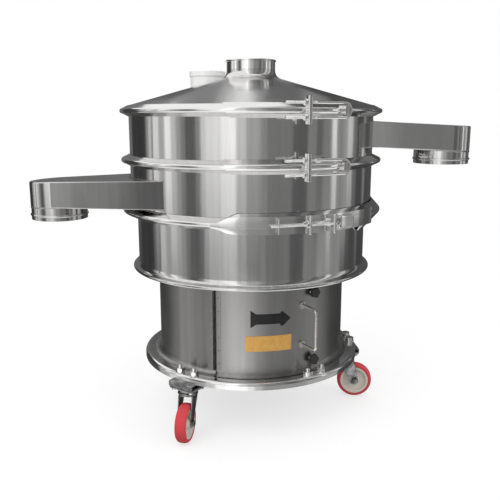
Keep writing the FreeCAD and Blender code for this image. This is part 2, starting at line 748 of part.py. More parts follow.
def chute_spout(reach, low):
    """The round outlet under the duct, with a rolled bead near its mouth."""
    outer = SPOUT_R
    inner = SPOUT_R - SPOUT_SHEET
    mouth = low - SPOUT_DROP
    bead = mouth + SPOUT_BEAD_UP
    half = SPOUT_BEAD_D / 2
    pipe = revolved([(inner, mouth), (outer, mouth), (outer, bead - half),
                     ((outer + half, bead), (outer, bead + half)),
                     (outer, low + CHUTE_H / 2), (inner, low + CHUTE_H / 2)])
    pipe.translate(vec(-reach, -CHUTE_OFFSET))
    above = block(-reach - CUTTER, CUTTER, -CUTTER, CUTTER, low, low + CUTTER)
    above.rotate(vec(-reach, 0, low), vec(0, 1, 0), -CHUTE_SLOPE)
    return pipe.cut(above)


LOWER_CHUTE_Z = CLAMP_Z["lower"] + LOWER_CHUTE_UP
UPPER_CHUTE_Z = CLAMP_Z["middle"] + UPPER_CHUTE_UP


def deck(low, high, reach, chute_z, azimuth):
    """A sieve deck with the mouth of its chute cut through the wall."""
    wall = revolved(deck_points(CLAMP_Z[low], CLAMP_Z[high]))
    core = disc(DECK_BORE_R - 5 * DECK_SHEET, chute_z - CHUTE_H, chute_z + 3 * CHUTE_H)
    mouth = chute_solid(reach, chute_z, CHUTE_SHEET).cut(core)
    return wall.cut(turned(mouth, azimuth))


def lid_points():
    z = CLAMP_Z["top"]
    half = GASKET_RING_T / 2
    edge = DECK_R + LID_SHOULDER
    slope = (LID_TOP - LID_EDGE) / (edge - INLET_R)
    drop = LID_SHEET * math.sqrt(1 + slope * slope)
    return [(DECK_BORE_R, z + half), (FLANGE_R, z + half), (FLANGE_R, z + FLANGE_TIP),
            (edge, z + FLANGE_ROOT - flange_slope() * (edge - DECK_R)), (edge, z + LID_EDGE),
            (INLET_R, z + LID_TOP), (INLET_R, z + LID_TOP - drop),
            (DECK_BORE_R, z + LID_EDGE + slope * (edge - DECK_BORE_R) - drop)]


def lid_cone():
    """The conical lid with its clamp flange, open at the inlet and under the port."""
    port = Part.makeCylinder(PORT_R - PORT_SHEET, PORT_H, vec(PORT_X, PORT_Y, CLAMP_Z["top"]))
    return revolved(lid_points()).cut(port)


def inlet_spout():
    """The round inlet with a rolled lip."""
    z = CLAMP_Z["top"]
    low = z + LID_TOP - INLET_SUNK
    top = z + INLET_H
    outer = INLET_R
    inner = INLET_R - INLET_SHEET
    lip = INLET_LIP_D
    return revolved([(inner, low), (outer, low), (outer, top - lip),
                     ((outer + lip / 2, top - lip / 2), (outer, top)), (inner, top)])


def sight_port():
    """The short collar on the lid, cut to the cone."""
    z = CLAMP_Z["top"]
    collar = Part.makeCylinder(PORT_R, PORT_H, vec(PORT_X, PORT_Y, z))
    collar = collar.cut(Part.makeCylinder(PORT_R - PORT_SHEET, PORT_H, vec(PORT_X, PORT_Y, z)))
    edge = DECK_R + LID_SHOULDER
    cone = revolved([(0, z - 1), (edge, z - 1), (edge, z + LID_EDGE), (INLET_R, z + LID_TOP),
                     (0, z + LID_TOP)])
    return collar.cut(cone)


def port_cap():
    """The cap on the port, with a rim that laps the collar."""
    top = CLAMP_Z["top"] + PORT_H
    outer = PORT_R + PORT_CAP_LAP
    low = top - PORT_CAP_RIM
    cap = Part.makeCylinder(outer, PORT_CAP_T + PORT_CAP_RIM, vec(PORT_X, PORT_Y, low))
    return cap.cut(Part.makeCylinder(PORT_R + WELD_GAP, PORT_CAP_RIM, vec(PORT_X, PORT_Y, low)))


def leg_z(radius, offset):
    """Height above a clamp's middle of a line parallel to the flanges' slope, offset outwards."""
    slope = flange_slope()
    return FLANGE_ROOT - slope * (radius - DECK_R) + offset * math.sqrt(1 + slope * slope)


def clamp_points(z, gap, sheet, nose):
    """A V-shaped channel that wraps two wedge flanges, with a rounded nose."""
    leg_r = DECK_R + CLAMP_FOOT_GAP
    knee = FLANGE_R
    inner_nose = nose - sheet
    out = gap + sheet
    return [(leg_r, z + leg_z(leg_r, out)), (knee, z + leg_z(knee, out)),
            ((nose, z), (knee, z - leg_z(knee, out))),
            (leg_r, z - leg_z(leg_r, out)), (leg_r, z - leg_z(leg_r, gap)), (knee, z - leg_z(knee, gap)),
            ((inner_nose, z), (knee, z + leg_z(knee, gap))), (leg_r, z + leg_z(leg_r, gap))]


def clamp_ring(name):
    """The split V ring, with the lug that its draw bolt hooks round."""
    z = CLAMP_Z[name]
    start = CLAMP_SPLIT_AZIMUTH + CLAMP_SPLIT / 2
    points = clamp_points(z, CLAMP_GAP, CLAMP_SHEET, CLAMP_NOSE_R)
    ring = revolved(points, start, 360.0 - CLAMP_SPLIT)
    if name == "lower":
        return ring
    return fuse(ring, hook_lug(z, CLAMP_NOSE_R - CLAMP_SHEET / 2))


def saddle_nose():
    return CLAMP_NOSE_R + CLAMP_GAP + SADDLE_SHEET


def bolt_y():
    return -(saddle_nose() + BOLT_STANDOFF)


def outside(radius, shape):
    """The part of a shape that lies outside a radius."""
    box = shape.BoundBox
    return shape.cut(disc(radius, box.ZMin - 1, box.ZMax + 1))


def cross_bar(z):
    """The bar that the bolt's legs pass through, cut to stand on the saddle's nose."""
    nose = saddle_nose()
    left = BAR_AT - BAR_W / 2
    right = BAR_AT + BAR_W / 2
    bar = block(left, right, bolt_y() - BAR_DEPTH / 2, -nose + BAR_W, z - BAR_H / 2, z + BAR_H / 2)
    for side in (-1, 1):
        leg_height = z + side * BOLT_PITCH / 2
        start = vec(left - 1, bolt_y(), leg_height)
        bar = bar.cut(rod(BOLT_ROD_D + 2 * BOLT_GAP, start, vec(right + 1, bolt_y(), leg_height)))
    return outside(nose - SADDLE_SHEET / 2, turned(bar, BOLT_AZIMUTH))


def hook_lug(z, seat_r):
    """The lug that the bolt's bend hooks round, cut to stand on a round seat."""
    radius = BOLT_PITCH / 2 - BOLT_ROD_D / 2 - BOLT_GAP
    right = BOLT_RIGHT + radius
    front = bolt_y() - LUG_DEPTH / 2
    post = Part.makeCylinder(radius, LUG_DEPTH * 2, vec(BOLT_RIGHT, front, z), vec(0, 1, 0))
    lug = block(right - LUG_W, right, front, front + LUG_DEPTH * 2, z - radius, z + radius).common(post)
    return outside(seat_r, turned(lug, BOLT_AZIMUTH))


def band_points(z, half, draw, low_in, down):
    """The wide band's section: a leg up, a crowned face drawn in by its knees, and a leg down."""
    nose = saddle_nose()
    sheet = SADDLE_SHEET
    knee = nose - draw
    top = nose - BAND_TOP_IN
    low = nose - low_in
    return [(top, z + BAND_UP), (knee, z + half), ((nose, z), (knee, z - half)), (low, z - down),
            (low - sheet, z - down + sheet / 2), (knee - sheet, z - half + sheet / 2),
            ((nose - sheet, z), (knee - sheet, z + half - sheet / 2)), (top - sheet, z + BAND_UP - sheet / 2)]


def band_taper(z, sign, full, tip):
    """The wedge outside the line from the band's full height to its tip, above or below its middle."""
    radius = saddle_nose()
    start = math.radians(BAND_FULL_FROM) * radius
    end = math.radians(BAND_FROM) * radius
    rise = (full - tip) / (start - end)
    beyond = end - full
    low_end = tip - rise * (end - beyond)
    corners = [(start, full), (start, 3 * full), (beyond, 3 * full), (beyond, low_end)]
    deep = -radius - BAR_DEPTH
    points = [vec(x - (start + end) / 2, deep, z + sign * up) for x, up in corners]
    wedge = Part.Face(outline(points)).extrude(vec(0, 3 * BAR_DEPTH + BAND_LOW_IN, 0))
    return turned(wedge, (BAND_FULL_FROM + BAND_FROM) / 2)


def wide_band(z):
    """The lower joint's band: tapered at its left end, with a skirt that reaches down at the right."""
    face = band_points(z, BAND_FACE_H, BAND_FACE_IN, BAND_LOW_IN, BAND_DOWN)
    nosed = band_points(z, BAND_NOSE_H, BAND_NOSE_IN, SKIRT_IN, SKIRT_DOWN)
    band = revolved(face, BAND_FROM, SKIRT_FROM - BAND_FROM)
    skirted = revolved(nosed, SKIRT_FROM, BAND_TO - SKIRT_FROM)
    band = band.cut(band_taper(z, 1, BAND_UP, BAND_TIP_UP)).cut(band_taper(z, -1, BAND_DOWN, BAND_TIP_DOWN))
    return fuse(band, skirted)


def tee_y():
    return -(saddle_nose() + TEE_STANDOFF)


def tee_post(z, at):
    """A round post with a hole for the tee bolt, and a web that stands on the band's face."""
    radius = POST_D / 2
    seat = saddle_nose() - SADDLE_SHEET / 2
    post = Part.makeCylinder(radius, POST_H, vec(at, tee_y(), z - POST_H / 2))
    web = block(at - radius, at + radius, tee_y(), radius - seat * math.cos(math.asin((at + radius) / seat)),
                z - BAND_FACE_H / 2, z + BAND_FACE_H / 2)
    hole = rod(TEE_ROD_D + 2 * BOLT_GAP, vec(at - POST_D, tee_y(), z), vec(at + POST_D, tee_y(), z))
    return outside(seat, turned(fuse(post, web).cut(hole), TEE_AZIMUTH))


def strap_end(z):
    """The band's folded end beside the far post."""
    nose = saddle_nose()
    return tube(nose + STRAP_OUT, nose - SADDLE_SHEET / 2, z - STRAP_H / 2, z + STRAP_H / 2, STRAP_FROM, STRAP_SWEEP)


def tee_bolt(z):
    """The lower joint's straight bolt, with a nut outside each post and a cross pin near its left end."""
    y = tee_y()
    near, far = POSTS_AT
    left_nut = near - POST_D / 2 - BOLT_GAP - NUT_H
    right_nut = far + POST_D / 2 + BOLT_GAP
    shank = rod(TEE_ROD_D, vec(-TEE_LEFT, y, z), vec(right_nut + NUT_H + TEE_END, y, z))
    pin = rod(TEE_PIN_D, vec(TEE_PIN_AT, y, z - TEE_PIN_H / 2), vec(TEE_PIN_AT, y, z + TEE_PIN_H / 2))
    nuts = [hexagon(NUT_FLAT, NUT_H, vec(start, y, z), vec(1, 0, 0)) for start in (left_nut, right_nut)]
    return turned(fuse(shank, pin, *nuts), TEE_AZIMUTH)


def clamp_saddle(name):
    """The outer shoe over the ring's split, with the cross bar, or the wide band with its posts."""
    z = CLAMP_Z[name]
    if name == "lower":
        return fuse(wide_band(z), strap_end(z), *[tee_post(z, at) for at in POSTS_AT])
    points = clamp_points(z, CLAMP_GAP * 2 + CLAMP_SHEET, SADDLE_SHEET, saddle_nose())
    return fuse(revolved(points, SADDLE_FROM, SADDLE_TO - SADDLE_FROM), cross_bar(z))


def clamp_bolt(name):
    """The U-shaped draw bolt with a nut on each leg, or the lower joint's tee bolt."""
    z = CLAMP_Z[name]
    if name == "lower":
        return tee_bolt(z)
    y = bolt_y()
    half = BOLT_PITCH / 2
    path = Part.Wire([
        Part.LineSegment(vec(-BOLT_LEFT, y, z + half), vec(BOLT_RIGHT, y, z + half)).toShape(),
        Part.Arc(vec(BOLT_RIGHT, y, z + half), vec(BOLT_RIGHT + half, y, z),
                 vec(BOLT_RIGHT, y, z - half)).toShape(),
        Part.LineSegment(vec(BOLT_RIGHT, y, z - half), vec(-BOLT_LEFT, y, z - half)).toShape()])
    ring = Part.Wire([Part.Circle(vec(-BOLT_LEFT, y, z + half), vec(1, 0, 0), BOLT_ROD_D / 2).toShape()])
    bow = path.makePipeShell([ring], True, True)
    face = BAR_AT - BAR_W / 2
    nuts = [hexagon(NUT_FLAT, NUT_H, vec(face - NUT_H, y, z + side * half), vec(1, 0, 0)) for side in (-1, 1)]
    return turned(fuse(bow, *nuts), BOLT_AZIMUTH)


def support_springs():
    """Coil springs in a circle between the spring ring and the pan's base plate."""
    radius = (SPRING_COIL_D - SPRING_WIRE_D) / 2
    rise = SPRING_H - SPRING_WIRE_D - 2 * WELD_GAP
    count = round(SPRING_TURNS * SPRING_STEPS)
    rings = []
    for i in range(count + 1):
        angle = 2 * math.pi * i / SPRING_STEPS
        height = SPRING_WIRE_D / 2 + WELD_GAP + rise * i / count
        corners = []
        for j in range(SPRING_SIDES):
            around = 2 * math.pi * (j + 0.5) / SPRING_SIDES
            reach = radius + SPRING_WIRE_D / 2 * math.cos(around)
            up = SPRING_WIRE_D / 2 * math.sin(around)
            corners.append(vec(reach * math.cos(angle), reach * math.sin(angle), height + up))
        rings.append(corners)
    faces = [Part.Face(Part.makePolygon(ring + ring[:1])) for ring in (rings[0], rings[-1])]
    for near, far in zip(rings, rings[1:]):
        for j in range(SPRING_SIDES):
            k = (j + 1) % SPRING_SIDES
            faces.append(Part.Face(Part.makePolygon([near[j], near[k], far[k], near[j]])))
            faces.append(Part.Face(Part.makePolygon([near[j], far[k], far[j], near[j]])))
    coil = Part.Solid(Part.makeShell(faces))
    coil.translate(vec(0, -SPRING_RING_R, SPRING_Z))
    return Part.makeCompound([turned(coil, (i + 0.5) * 360.0 / SPRING_COUNT) for i in range(SPRING_COUNT)])


def motor_body():
    """The finned housing, its mounting flange and its upper bearing end."""
    top = PLATE_Z - MOTOR_FLANGE_T
    low = PLATE_Z - MOTOR_H
    pieces = [disc(MOTOR_R, low, top), disc(MOTOR_FLANGE_R, top, PLATE_Z),
              disc(MOTOR_TOP_R, PLATE_Z, PAN_TOP_Z + MOTOR_TOP_H)]
    for i in range(MOTOR_FINS):
        fin = block(-MOTOR_FIN_T / 2, MOTOR_FIN_T / 2, -MOTOR_R - MOTOR_FIN_H, -MOTOR_R + MOTOR_FIN_T,
                    low + MOTOR_END_H, top)
        pieces.append(turned(fin, i * 360.0 / MOTOR_FINS))
    return fuse(*pieces)


def motor_shaft():
    """The two shaft ends with their eccentric weights."""
    low = PLATE_Z - MOTOR_H
    top = PAN_TOP_Z + MOTOR_TOP_H
    shaft = MOTOR_SHAFT_D / 2
    low_end = disc(shaft, low - MOTOR_SHAFT_OUT, low)
    top_end = disc(shaft, top, top + WEIGHT_CLEAR + WEIGHT_T)
    bottom = low - WEIGHT_CLEAR - WEIGHT_T
    lower = tube(WEIGHT_R, shaft / 2, bottom, bottom + WEIGHT_T, -WEIGHT_SWEEP / 2, WEIGHT_SWEEP)
    upper = tube(WEIGHT_R, shaft / 2, top + WEIGHT_CLEAR, top + WEIGHT_CLEAR + WEIGHT_T,
                 180 - WEIGHT_SWEEP / 2, WEIGHT_SWEEP)
    return Part.makeCompound([fuse(low_end, lower), fuse(top_end, upper)])


os.makedirs("parts", exist_ok=True)

pads = []
plates = []
for caster, pivot, turn, azimuth in caster_frames():
    pads.append(turned(caster_pad(), azimuth))
    plates.append(moved(turned(caster_plate(), azimuth), pivot.x, pivot.y, 0))
    save("caster_fork_" + caster, moved(turned(caster_fork(), turn), pivot.x, pivot.y, 0))
    save("caster_tread_" + caster, moved(turned(caster_tread(), turn), pivot.x, pivot.y, 0))
    save("caster_hub_" + caster, moved(turned(caster_hub(), turn), pivot.x, pivot.y, 0))
save("caster_pads", Part.makeCompound(pads))
save("caster_plates", Part.makeCompound(plates))
save("base_ring", base_ring())
save("base_drum", base_drum())
save("spring_ring", spring_ring())
save("hinge_fixed_leaf", hinge_fixed_leaf())
save("door_hinge_leaf", door_hinge_leaf())
save("door_panel", door_panel())
save("door_gasket", door_gasket())
save("door_handle", door_handle())
save("door_knob_low", door_knob(DOOR_Z + KNOB_LOW))
save("door_knob_high", door_knob(DOOR_Z + KNOB_HIGH))
save("support_springs", support_springs())
save("pan_shell", pan_shell())
save("pan_base_plate", pan_base_plate())
save("product_dome", product_dome())
save("clamp_gaskets", clamp_gaskets())
save("screen_ring", screen_ring())
save("screen_mesh", screen_mesh())
save("deck_lower", deck("lower", "middle", LOWER_CHUTE_REACH, LOWER_CHUTE_Z, 0.0))
save("deck_upper", deck("middle", "top", UPPER_CHUTE_REACH, UPPER_CHUTE_Z, 180.0))
save("chute_lower", chute_duct(LOWER_CHUTE_REACH, LOWER_CHUTE_Z))
save("chute_upper", turned(chute_duct(UPPER_CHUTE_REACH, UPPER_CHUTE_Z), 180.0))
save("spout_lower", chute_spout(LOWER_CHUTE_REACH, LOWER_CHUTE_Z))
save("spout_upper", turned(chute_spout(UPPER_CHUTE_REACH, UPPER_CHUTE_Z), 180.0))
save("lid_cone", lid_cone())
save("inlet_spout", inlet_spout())
save("sight_port", sight_port())
save("sight_port_cap", port_cap())
save("motor_body", motor_body())
save("motor_weights", motor_shaft())
for clamp in CLAMP_Z:
    save("clamp_ring_" + clamp, clamp_ring(clamp))
    save("clamp_saddle_" + clamp, clamp_saddle(clamp))
    save("clamp_bolt_" + clamp, clamp_bolt(clamp))
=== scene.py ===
"""Dresses the round vibrating screen: fine sheet metal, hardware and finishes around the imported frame."""

import logging
import math
from dataclasses import dataclass, replace
from enum import Enum

import bmesh
import bpy
import numpy as np
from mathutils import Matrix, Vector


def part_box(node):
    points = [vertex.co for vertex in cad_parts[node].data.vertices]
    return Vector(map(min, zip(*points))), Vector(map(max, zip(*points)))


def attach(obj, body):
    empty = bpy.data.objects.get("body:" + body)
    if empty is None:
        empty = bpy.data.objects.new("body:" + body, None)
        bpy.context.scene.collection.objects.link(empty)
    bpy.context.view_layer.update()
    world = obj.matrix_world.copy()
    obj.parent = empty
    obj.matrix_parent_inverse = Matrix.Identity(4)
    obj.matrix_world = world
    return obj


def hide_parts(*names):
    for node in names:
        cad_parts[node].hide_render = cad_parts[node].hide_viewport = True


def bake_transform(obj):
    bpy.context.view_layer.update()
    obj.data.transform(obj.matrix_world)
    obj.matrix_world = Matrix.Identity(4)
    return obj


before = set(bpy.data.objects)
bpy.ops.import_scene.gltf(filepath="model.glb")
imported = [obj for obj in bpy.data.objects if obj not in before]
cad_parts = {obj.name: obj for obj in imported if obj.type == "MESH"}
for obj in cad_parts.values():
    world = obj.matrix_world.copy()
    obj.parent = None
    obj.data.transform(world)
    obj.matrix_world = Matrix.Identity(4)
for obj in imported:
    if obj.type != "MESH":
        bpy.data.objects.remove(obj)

Array = np.ndarray
Pair = tuple[float, float]
Triple = tuple[float, float, float]
Quad = tuple[float, float, float, float]
Socket = bpy.types.NodeSocket
LOG = logging.getLogger("screen")
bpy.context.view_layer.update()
TURN = 2.0 * math.pi
FINE_TURN = 240
COARSE_TURN = 64
CORE = 0.0005
GRAIN_RADIUS = 0.35
MERGING = 1e-6
STACK = "screen_stack"
WHITE = (1.0, 1.0, 1.0, 1.0)


# Surfaces


class Facing(Enum):
    """The way that a piece drawn up Z faces once it is placed: what its X, Y and Z axes become."""

    RIGHT = ((0, 1, 0), (0, 0, 1), (1, 0, 0))
    LEFT = ((0, 1, 0), (0, 0, 1), (-1, 0, 0))
    FRONT = ((1, 0, 0), (0, 0, 1), (0, -1, 0))
    BACK = ((1, 0, 0), (0, 0, 1), (0, 1, 0))
    DOWN = ((1, 0, 0), (0, -1, 0), (0, 0, -1))


@dataclass
class Skin:
    """A surface: points of shape (n, 3) and faces of shape (m, 4), where a triangle ends in -1."""

    points: Array
    faces: Array

    def turned(self, azimuth: float) -> "Skin":
        """The skin turned about the machine's axis, from the front towards +X, in degrees."""
        c, s = math.cos(math.radians(azimuth)), math.sin(math.radians(azimuth))
        return Skin(self.points @ np.array([[c, s, 0.0], [-s, c, 0.0], [0.0, 0.0, 1.0]]), self.faces)

    def moved(self, x: float = 0.0, y: float = 0.0, z: float = 0.0) -> "Skin":
        """The skin shifted."""
        return Skin(self.points + np.array([x, y, z]), self.faces)

    def placed(self, origin: Triple, facing: Facing) -> "Skin":
        """The skin turned to face a way and put at an origin: point = origin + x X + y Y + z Z."""
        return Skin(self.points @ np.array(facing.value, float) + np.array(origin, float), self.faces).outward()

    def wrapped(self, radius: float) -> "Skin":
        """A flat skin (arc, depth, height) bent round the axis.

        Azimuth = arc / radius, and distance from the axis = radius + depth.

        Args:
            radius: distance from the axis at which depth is 0.

        Returns:
            The bent skin, with its faces pointing out.
        """
        arc, depth, height = self.points.T
        reach = radius + depth
        points = np.stack([reach * np.sin(arc / radius), -reach * np.cos(arc / radius), height], 1)
        return Skin(points, self.faces).outward()

    def outward(self) -> "Skin":
        """The skin with its faces pointing out: volume = sum of a . (b x c + c x d) over its faces.

        Returns:
            The same skin, or one with its faces flipped if the volume that they enclose is negative.
        """
        a, b, c = (self.points[self.faces[:, i]] - self.points.mean(0) for i in range(3))
        d = self.points[np.where(self.faces[:, 3] < 0, self.faces[:, 2], self.faces[:, 3])] - self.points.mean(0)
        volume = np.einsum("ij,ij->i", a, np.cross(b, c) + np.cross(c, d)).sum()
        if volume >= 0:
            return self
        flipped = self.faces[:, [0, 2, 1, 3]].copy()
        square = self.faces[:, 3] >= 0
        flipped[square] = self.faces[square][:, ::-1]
        return Skin(self.points, flipped)


def joined(*skins: Skin) -> Skin:
    """Several skins as one.

    Args:
        skins: the skins.

    Returns:
        One skin with the faces of all, in their order.
    """
    starts = np.cumsum([0] + [len(s.points) for s in skins[:-1]])
    faces = [np.where(s.faces < 0, -1, s.faces + start) for s, start in zip(skins, starts)]
    return Skin(np.concatenate([s.points for s in skins]), np.concatenate(faces))


def loft(rings: Array, closed: bool = False, caps: bool = True, keep: Array | None = None) -> Skin:
    """Skin over rings of points: point (k, n) joins (k, n + 1) and (k + 1, n), and n runs round and round.

    Args:
        rings: points of shape (rings, points round, 3).
        closed: whether the last ring joins the first.
        caps: whether the two end rings are closed by a fan to their middle.
        keep: mask of shape (ring gaps, points round) of the faces that are kept.

    Returns:
        The skin, with its faces pointing out.
    """
    count, around = rings.shape[:2]
    k = np.arange(count if closed else count - 1)[:, None]
    n = np.arange(around)[None, :]
    beside = (n + 1) % around
    above = (k + 1) % count
    quads = np.stack([k * around + n, k * around + beside, above * around + beside, above * around + n], -1)
    quads = quads[keep] if keep is not None else quads.reshape(-1, 4)
    points = rings.reshape(-1, 3)
    if caps and not closed:
        points = np.concatenate([points, rings[0].mean(0)[None], rings[-1].mean(0)[None]])
        here, there = np.arange(around), (np.arange(around) + 1) % around
        last = (count - 1) * around
        none = np.full(around, -1)
        low = np.stack([np.full(around, count * around), there, here, none], 1)
        high = np.stack([np.full(around, count * around + 1), last + here, last + there, none], 1)
        quads = np.concatenate([quads, low, high])
    return Skin(points, quads).outward()


def rounded(corners: Array, radius: float, steps: int = 3) -> Array:
    """A closed outline whose corners are blended: P = (1 - t)^2 A + 2 t (1 - t) C + t^2 B.

    A and B lie on the sides beside corner C, a radius away from it, or just under half a side where that is less.

    Args:
        corners: points of shape (n, 2) or (n, 3).
        radius: distance from a corner at which its blend starts.
        steps: pieces of each blend.

    Returns:
        The outline, with steps + 1 points for each corner.
    """
    corners = np.asarray(corners, float)
    before, after = np.roll(corners, 1, 0) - corners, np.roll(corners, -1, 0) - corners
    to_before, to_after = np.linalg.norm(before, axis=1), np.linalg.norm(after, axis=1)
    cut = np.minimum(radius, 0.48 * np.minimum(to_before, to_after))
    start = corners + before * (cut / to_before)[:, None]
    end = corners + after * (cut / to_after)[:, None]
    t = np.linspace(0.0, 1.0, steps + 1)[None, :, None]
    blend = (1 - t) ** 2 * start[:, None] + 2 * t * (1 - t) * corners[:, None] + t**2 * end[:, None]
    return blend.reshape(-1, corners.shape[1])


def circle(radius: float, count: int) -> Array:
    """Points round a circle, counterclockwise from +X."""
    angle = np.linspace(0.0, TURN, count, endpoint=False)
    return radius * np.stack([np.cos(angle), np.sin(angle)], 1)


def lifted(outline: Array, height: float | Array) -> Array:
    """Points in X and Y put at a height, or each at its own."""
    return np.column_stack([outline, np.broadcast_to(height, len(outline))])


def arc_points(x: float, y: float, radius: float, start: float, end: float, count: int) -> Array:
    """Points along an arc about (x, y), from one angle to another in degrees."""
    t = np.radians(np.linspace(start, end, count))
    return np.stack([x + radius * np.cos(t), y + radius * np.sin(t)], 1)


def respaced(outline: Array, count: int) -> Array:
    """A closed outline walked at equal steps: each coordinate is interpolated over the length along it.

    Args:
        outline: its points.
        count: how many points it gets.

    Returns:
        The new points.
    """
    loop = np.concatenate([outline, outline[:1]])
    length = np.concatenate([[0.0], np.cumsum(np.linalg.norm(np.diff(loop, axis=0), axis=1))])
    at = np.linspace(0.0, length[-1], count, endpoint=False)
    return np.stack([np.interp(at, length, loop[:, i]) for i in range(outline.shape[1])], 1)


def drawn_in(outline: Array, inset: float) -> Array:
    """A counterclockwise outline moved inwards along the normal of its neighbours' chord.

    Args:
        outline: points of shape (n, 2).
        inset: how far they move.

    Returns:
        The moved points.
    """
    chord = np.roll(outline, -1, 0) - np.roll(outline, 1, 0)
    normal = np.stack([chord[:, 1], -chord[:, 0]], 1) / np.linalg.norm(chord, axis=1, keepdims=True)
    return outline - inset * normal


def slab(outline: Array, low: float, high: float, edge: float, fill: int = 1) -> Skin:
    """A plate over a counterclockwise outline in X and Y, its rim rounded over by quarter circles.

    Args:
        outline: points of shape (n, 2).
        low: height of the lower face.
        high: height of the upper face.
        edge: radius of the rounding at both faces.
        fill: rings from the rim to the middle of each face, more than one for a plate that is bent later.

    Returns:
        The closed plate.
    """
    t = np.linspace(0.0, math.pi / 2, 3)
    inset = np.concatenate([edge * (1 - np.sin(t)), edge * (1 - np.sin(t[::-1]))])
    height = np.concatenate([low + edge * (1 - np.cos(t)), high - edge * (1 - np.cos(t[::-1]))])
    rim = [lifted(drawn_in(outline, i), z) for i, z in zip(inset, height)]
    middle = np.append(outline.mean(0), 0.0)
    share = np.linspace(0.0, 1.0, fill + 1)[1:-1]
    lower = [rim[0] * s + (middle + [0, 0, low]) * (1 - s) for s in share]
    upper = [rim[-1] * s + (middle + [0, 0, high]) * (1 - s) for s in share[::-1]]
    return loft(np.array(lower + rim + upper))


def frame_plate(outer: Array, inner: Array, low: float, high: float) -> Skin:
    """A flat plate between two outlines of as many points, such as a gasket: four loops joined in a ring."""
    loops = [(outer, low), (outer, high), (inner, high), (inner, low)]
    return loft(np.array([lifted(outline, height) for outline, height in loops]), closed=True)


def section(inner: float, outer: float, low: float, high: float) -> Array:
    """A rectangle from its inner lower corner, counterclockwise."""
    return np.array([[inner, low], [outer, low], [outer, high], [inner, high]])


def rectangle(width: float, height: float, radius: float, steps: int = 4) -> Array:
    """A rounded rectangle about the origin, counterclockwise."""
    return rounded(section(-width / 2, width / 2, -height / 2, height / 2), radius, steps)


def upright(skin: Skin) -> Skin:
    """A plate drawn in X and Y stood up as arc, depth and height, ready to be wrapped."""
    return Skin(skin.points[:, [0, 2, 1]], skin.faces).outward()


def revolve(outline: Array, start: float = 0.0, arc: float = 360.0, steps: int = FINE_TURN,
            skew: float = 0.0) -> Skin:
    """A closed outline of radius and height turned about the axis: (r sin a, -r cos a, z).

    Args:
        outline: points of shape (n, 2), radius and height.
        start: first azimuth in degrees.
        arc: degrees turned through, 360 for a whole ring.
        steps: faces along the arc.
        skew: degrees by which both ends lean for each metre of height above the outline's middle.

    Returns:
        The closed ring or arc.
    """
    whole = arc >= 360.0
    radius, height = np.asarray(outline, float).T
    azimuth = np.linspace(start, start + arc, steps + 1)[: steps if whole else steps + 1, None]
    a = np.radians(azimuth + skew * (height - height.mean())[None, :])
    rings = np.stack([radius * np.sin(a), -radius * np.cos(a), np.broadcast_to(height, a.shape)], -1)
    return loft(rings, closed=whole)


def sweep(path: Array, radius: float | Array, up: tuple, sides: int = 12, closed: bool = False) -> Skin:
    """A round rod along a path: point = path + radius (cos a side + sin a top).

    Side = ahead x up, and top = side x ahead.

    Args:
        path: points along the rod's middle.
        radius: radius of the rod, or one for each point.
        up: a direction that the path never takes.
        sides: faces round the rod.
        closed: whether the path comes back to its start.

    Returns:
        The rod.
    """
    path = np.asarray(path, float)
    ahead = np.roll(path, -1, 0) - np.roll(path, 1, 0) if closed else np.gradient(path, axis=0)
    ahead /= np.linalg.norm(ahead, axis=1, keepdims=True)
    side = np.cross(ahead, np.array(up, float))
    side /= np.linalg.norm(side, axis=1, keepdims=True)
    top = np.cross(side, ahead)
    reach = np.broadcast_to(radius, len(path))[:, None, None]
    cos, sin = circle(1.0, sides).T[:, None, :, None]
    return loft(path[:, None] + reach * (cos * side[:, None] + sin * top[:, None]), closed=closed)


def weld(path: Array, radius: float, closed: bool = False, ripple: float = 0.004) -> Skin:
    """A weld bead: a thin rod whose radius swells by a tenth once every ripple along the path.

    Args:
        path: points along the bead's middle.
        radius: its mean radius.
        closed: whether the path comes back to its start.
        ripple: distance from one swelling to the next.

    Returns:
        The bead.
    """
    step = np.linalg.norm(np.gradient(path, axis=0), axis=1)
    along = np.cumsum(step)
    turns = max(1, round(along[-1] / ripple))
    return sweep(path, radius * (1 + 0.1 * np.cos(TURN * turns * along / along[-1])), (0.0, 0.0, 1.0), 6, closed)


def ring_path(radius: float, height: float | Array, count: int, x: float = 0.0, y: float = 0.0) -> Array:
    """A circle of points about an upright line."""
    return lifted(circle(radius, count) + [x, y], height)


def hex_radius(flat: float, angle: Array) -> Array:
    """Distance from the middle to a hexagon's side: half the flat / cos(angle from the side's middle)."""
    return flat / 2 / np.cos((angle + math.pi / 6) % (math.pi / 3) - math.pi / 6)


def hex_head(flat: float, height: float) -> Skin:
    """A chamfered hexagon standing on Z = 0: radius = the smaller of the hexagon and a cone at each end.

    Args:
        flat: width across the flats.
        height: its height.

    Returns:
        The head or nut.
    """
    angle = np.linspace(0.0, TURN, 36, endpoint=False)
    hexagon = hex_radius(flat, angle)
    chamfer = 0.12 * flat / 2
    wide, rise = flat / 2 + chamfer, chamfer * 0.6
    radius = np.array([np.minimum(hexagon, limit) for limit in (flat / 2, wide, wide, flat / 2)])
    z = np.array([0.0, rise, height - rise, height])[:, None]
    return loft(np.stack([radius * np.cos(angle), radius * np.sin(angle), np.broadcast_to(z, radius.shape)], -1))


def washer(outer: float, bore: float, thick: float, sides: int = 28) -> Skin:
    """A flat ring standing on Z = 0."""
    return frame_plate(circle(outer / 2, sides), circle(bore / 2, sides), 0.0, thick)


